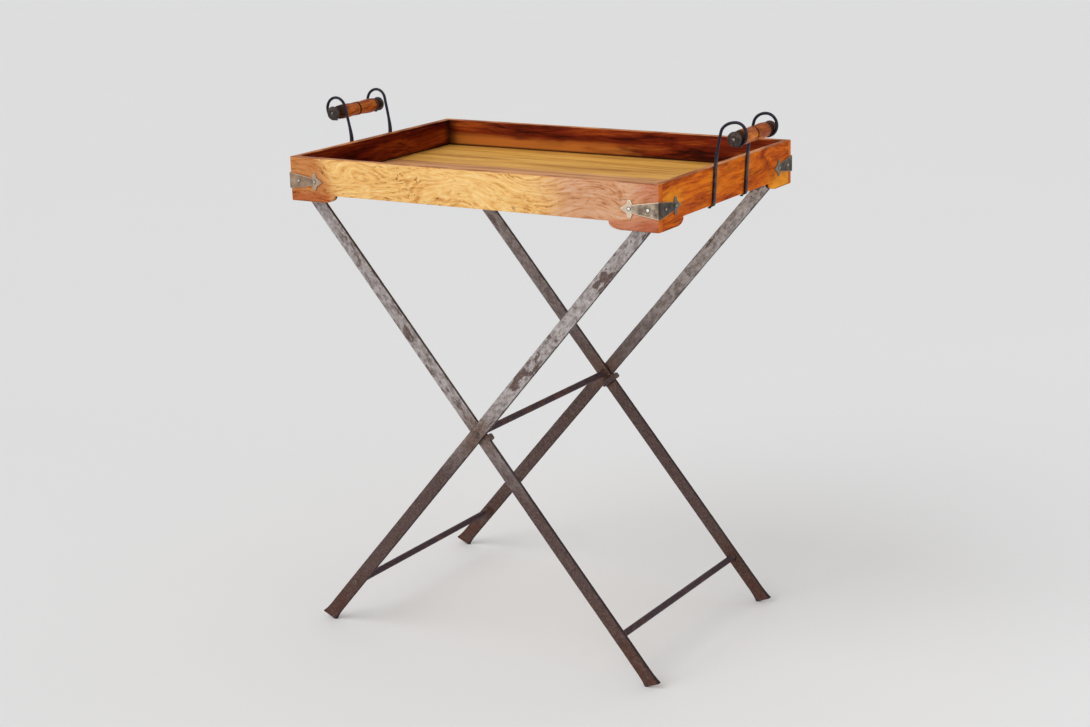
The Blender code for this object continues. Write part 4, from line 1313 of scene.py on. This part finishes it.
def weldRing(name, centre, radius, wayIn, body, material):
    # bead laid round a bar where it meets a leg
    rings = []
    steps = 36
    for step in range(steps):
        turn = 2 * math.pi * step / steps
        out = Vector((math.cos(turn), 0, math.sin(turn)))
        size = weldShape["bead"] + weldShape["lumps"] * noise.noise(centre * 50 + out * 1.9)
        ring = []
        for side in range(weldShape["sides"]):
            around = 2 * math.pi * side / weldShape["sides"]
            away = max(0.0, math.sin(around))
            inwards = Vector((0, wayIn * size * away * weldShape["spread"], 0))
            ring.append(centre + out * (radius + size * math.cos(around)) + inwards)
        rings.append(ring)
    bm = bmesh.new()
    loops = [[bm.verts.new(point) for point in ring] for ring in rings]
    for near in range(steps):
        first, second = loops[near - 1], loops[near]
        for side in range(len(first)):
            bm.faces.new((first[side - 1], first[side], second[side], second[side - 1]))
    addPiece(meshFrom(bm, name, 60), name, material, body, "rusty_iron")


def weldBead(name, start, end, side, up, body, material):
    # short bead along the seam from start to end, standing up from the two faces that meet there
    start, end, side, up = (Vector(point) for point in (start, end, side, up))
    steps = 20
    rings = []
    for step in range(steps + 1):
        share = step / steps
        middle = start.lerp(end, share)
        swell = math.sin(math.pi * min(max(share, 0.04), 0.96)) ** 0.35
        size = (weldShape["bead"] + weldShape["lumps"] * noise.noise(middle * 260)) * swell
        ring = []
        for part in range(weldShape["sides"]):
            turn = 2 * math.pi * part / weldShape["sides"]
            ring.append(middle + (side * math.cos(turn) + up * math.sin(turn)) * size)
        rings.append(ring)
    addPiece(loft(rings, name, 60), name, material, body, "rusty_iron")


legList = (  # frame, end, lean, seed, heights between which the bar turns silvery, how silvery
    ("outer", "front", 1, 1.3, 0.27, 0.42, 1.0),
    ("outer", "back", 1, 4.1, 0.30, 0.56, 1.0),
    ("inner", "front", -1, 7.7, 0.24, 0.40, 0.85),
    ("inner", "back", -1, 9.2, 0.30, 0.56, 0.5),
)

barList = (  # name, node, body, riveted, inner face of the legs it meets
    ("pivotBar", "pivot_bar", "inner_frame", True, innerLegFace),
    ("lowBarOuter", "low_bar_outer", "outer_frame", True, outerLegFace),
    ("lowBarInner", "low_bar_inner", "inner_frame", False, innerLegFace),
)


def buildStand(bar, weld):
    for frameName, endName, lean, seed, silverFrom, silverTo, silver in legList:
        node = "%s_leg_%s" % (frameName, endName)
        angle = legShape[frameName + "Angle"]
        name = frameName + endName.title() + "Iron"
        material = legMaterial(name, seed, lean, angle, silverFrom, silverTo, silver)
        mesh = legMesh(node + "Bar", node, lean, angle)
        addPiece(mesh, node + "Bar", material, frameName + "_frame", "worn_iron", node)
    for name, node, body, riveted, face in barList:
        crossBar(name, node, body, bar, riveted, face - barShape["gap"])
        for endName, way in (("front", -1), ("back", 1)):
            centre = middleOf(node)
            centre.y = way * (face + 0.0001)
            weldRing("weld_%s_%s" % (node, endName), centre, barShape["radius"], -way, body, weld)
    for endName, way in (("front", -1), ("back", 1)):
        buildStop(endName, way, bar, weld)
    print("stand built")


stopShape = {
    "width": 0.011,
    "thick": 0.005,
    "tail": 0.012,  # along the inner leg
    "bend": 0.003,
    "round": 0.0024,
    "flank": 0.0006,
    "seam": (-0.0105, 0.0085),  # weld along the tail, from the leg's centre line
}


def buildStop(endName, way, bar, weld):
    # bracket welded inside the inner leg, its arm turned out to stop the outer leg
    shape = stopShape
    width, thick, tail, bend = (shape[key] for key in ("width", "thick", "tail", "bend"))
    angle = math.radians(legShape["innerAngle"])
    both = math.radians(legShape["innerAngle"] + legShape["outerAngle"])
    edge = legShape["width"] / 2 + barShape["gap"]
    down = Vector((math.sin(angle), 0, -math.cos(angle)))
    off = Vector((math.cos(angle), 0, math.sin(angle)))
    middle = foldPivot + down * (edge * math.tan(both / 2) + width / 2)
    node = "stop_" + endName
    outside = max(abs(corner[1]) for corner in corners[node])
    flat = innerLegFace - barShape["gap"] - thick / 2
    arm = edge + thick / 2
    path = [(-tail, flat), (-tail * 0.5, flat), (0.0, flat)]
    for step in range(9):
        turn = math.radians(-90 + 90 * step / 8)
        path.append((arm - bend + bend * math.cos(turn), flat + bend + bend * math.sin(turn)))
    path += [(arm, outside - 0.004), (arm, outside)]
    section = roundedSection(width / 2 - shape["flank"], thick / 2, shape["round"])
    rings = []
    for number, (out, y) in enumerate(path):
        before, after = path[max(number - 1, 0)], path[min(number + 1, len(path) - 1)]
        direction = Vector((after[0] - before[0], after[1] - before[1])).normalized()
        through = off * direction.y + Vector((0, -way * direction.x, 0))
        centre = middle + off * out + Vector((0, way * y, 0))
        size = 0.8 if number in (0, len(path) - 1) else 1.0
        rings.append([centre + down * a * size + through * b * size for a, b in section])
    name = node + "Bar"
    addPiece(loft(rings, name, 40), name, bar, "inner_frame", "rusty_iron", node)
    for label, edgeSide in (("above", -1), ("below", 1)):
        seam = middle + down * (edgeSide * width / 2) + Vector((0, way * (innerLegFace - 0.0002), 0))
        start, end = (seam + off * reach for reach in shape["seam"])
        side, up = down * edgeSide * 0.8, Vector((0, -way * 0.8, 0))
        weldBead("weld_stop_%s_%s" % (endName, label), start, end, side, up, "inner_frame", weld)


def main():
    buildStudio()
    bronze = bronzeMaterial()
    iron = forgedIronMaterial()
    buildTray()
    buildStraps(bronze)
    buildNails(nailMaterial(), capNailMaterial(), nailSeatMaterial(), iron)
    buildHandles(iron, turnedWoodMaterial(), burntWoodMaterial())
    buildStand(rustyBarMaterial(), weldMaterial())


main()
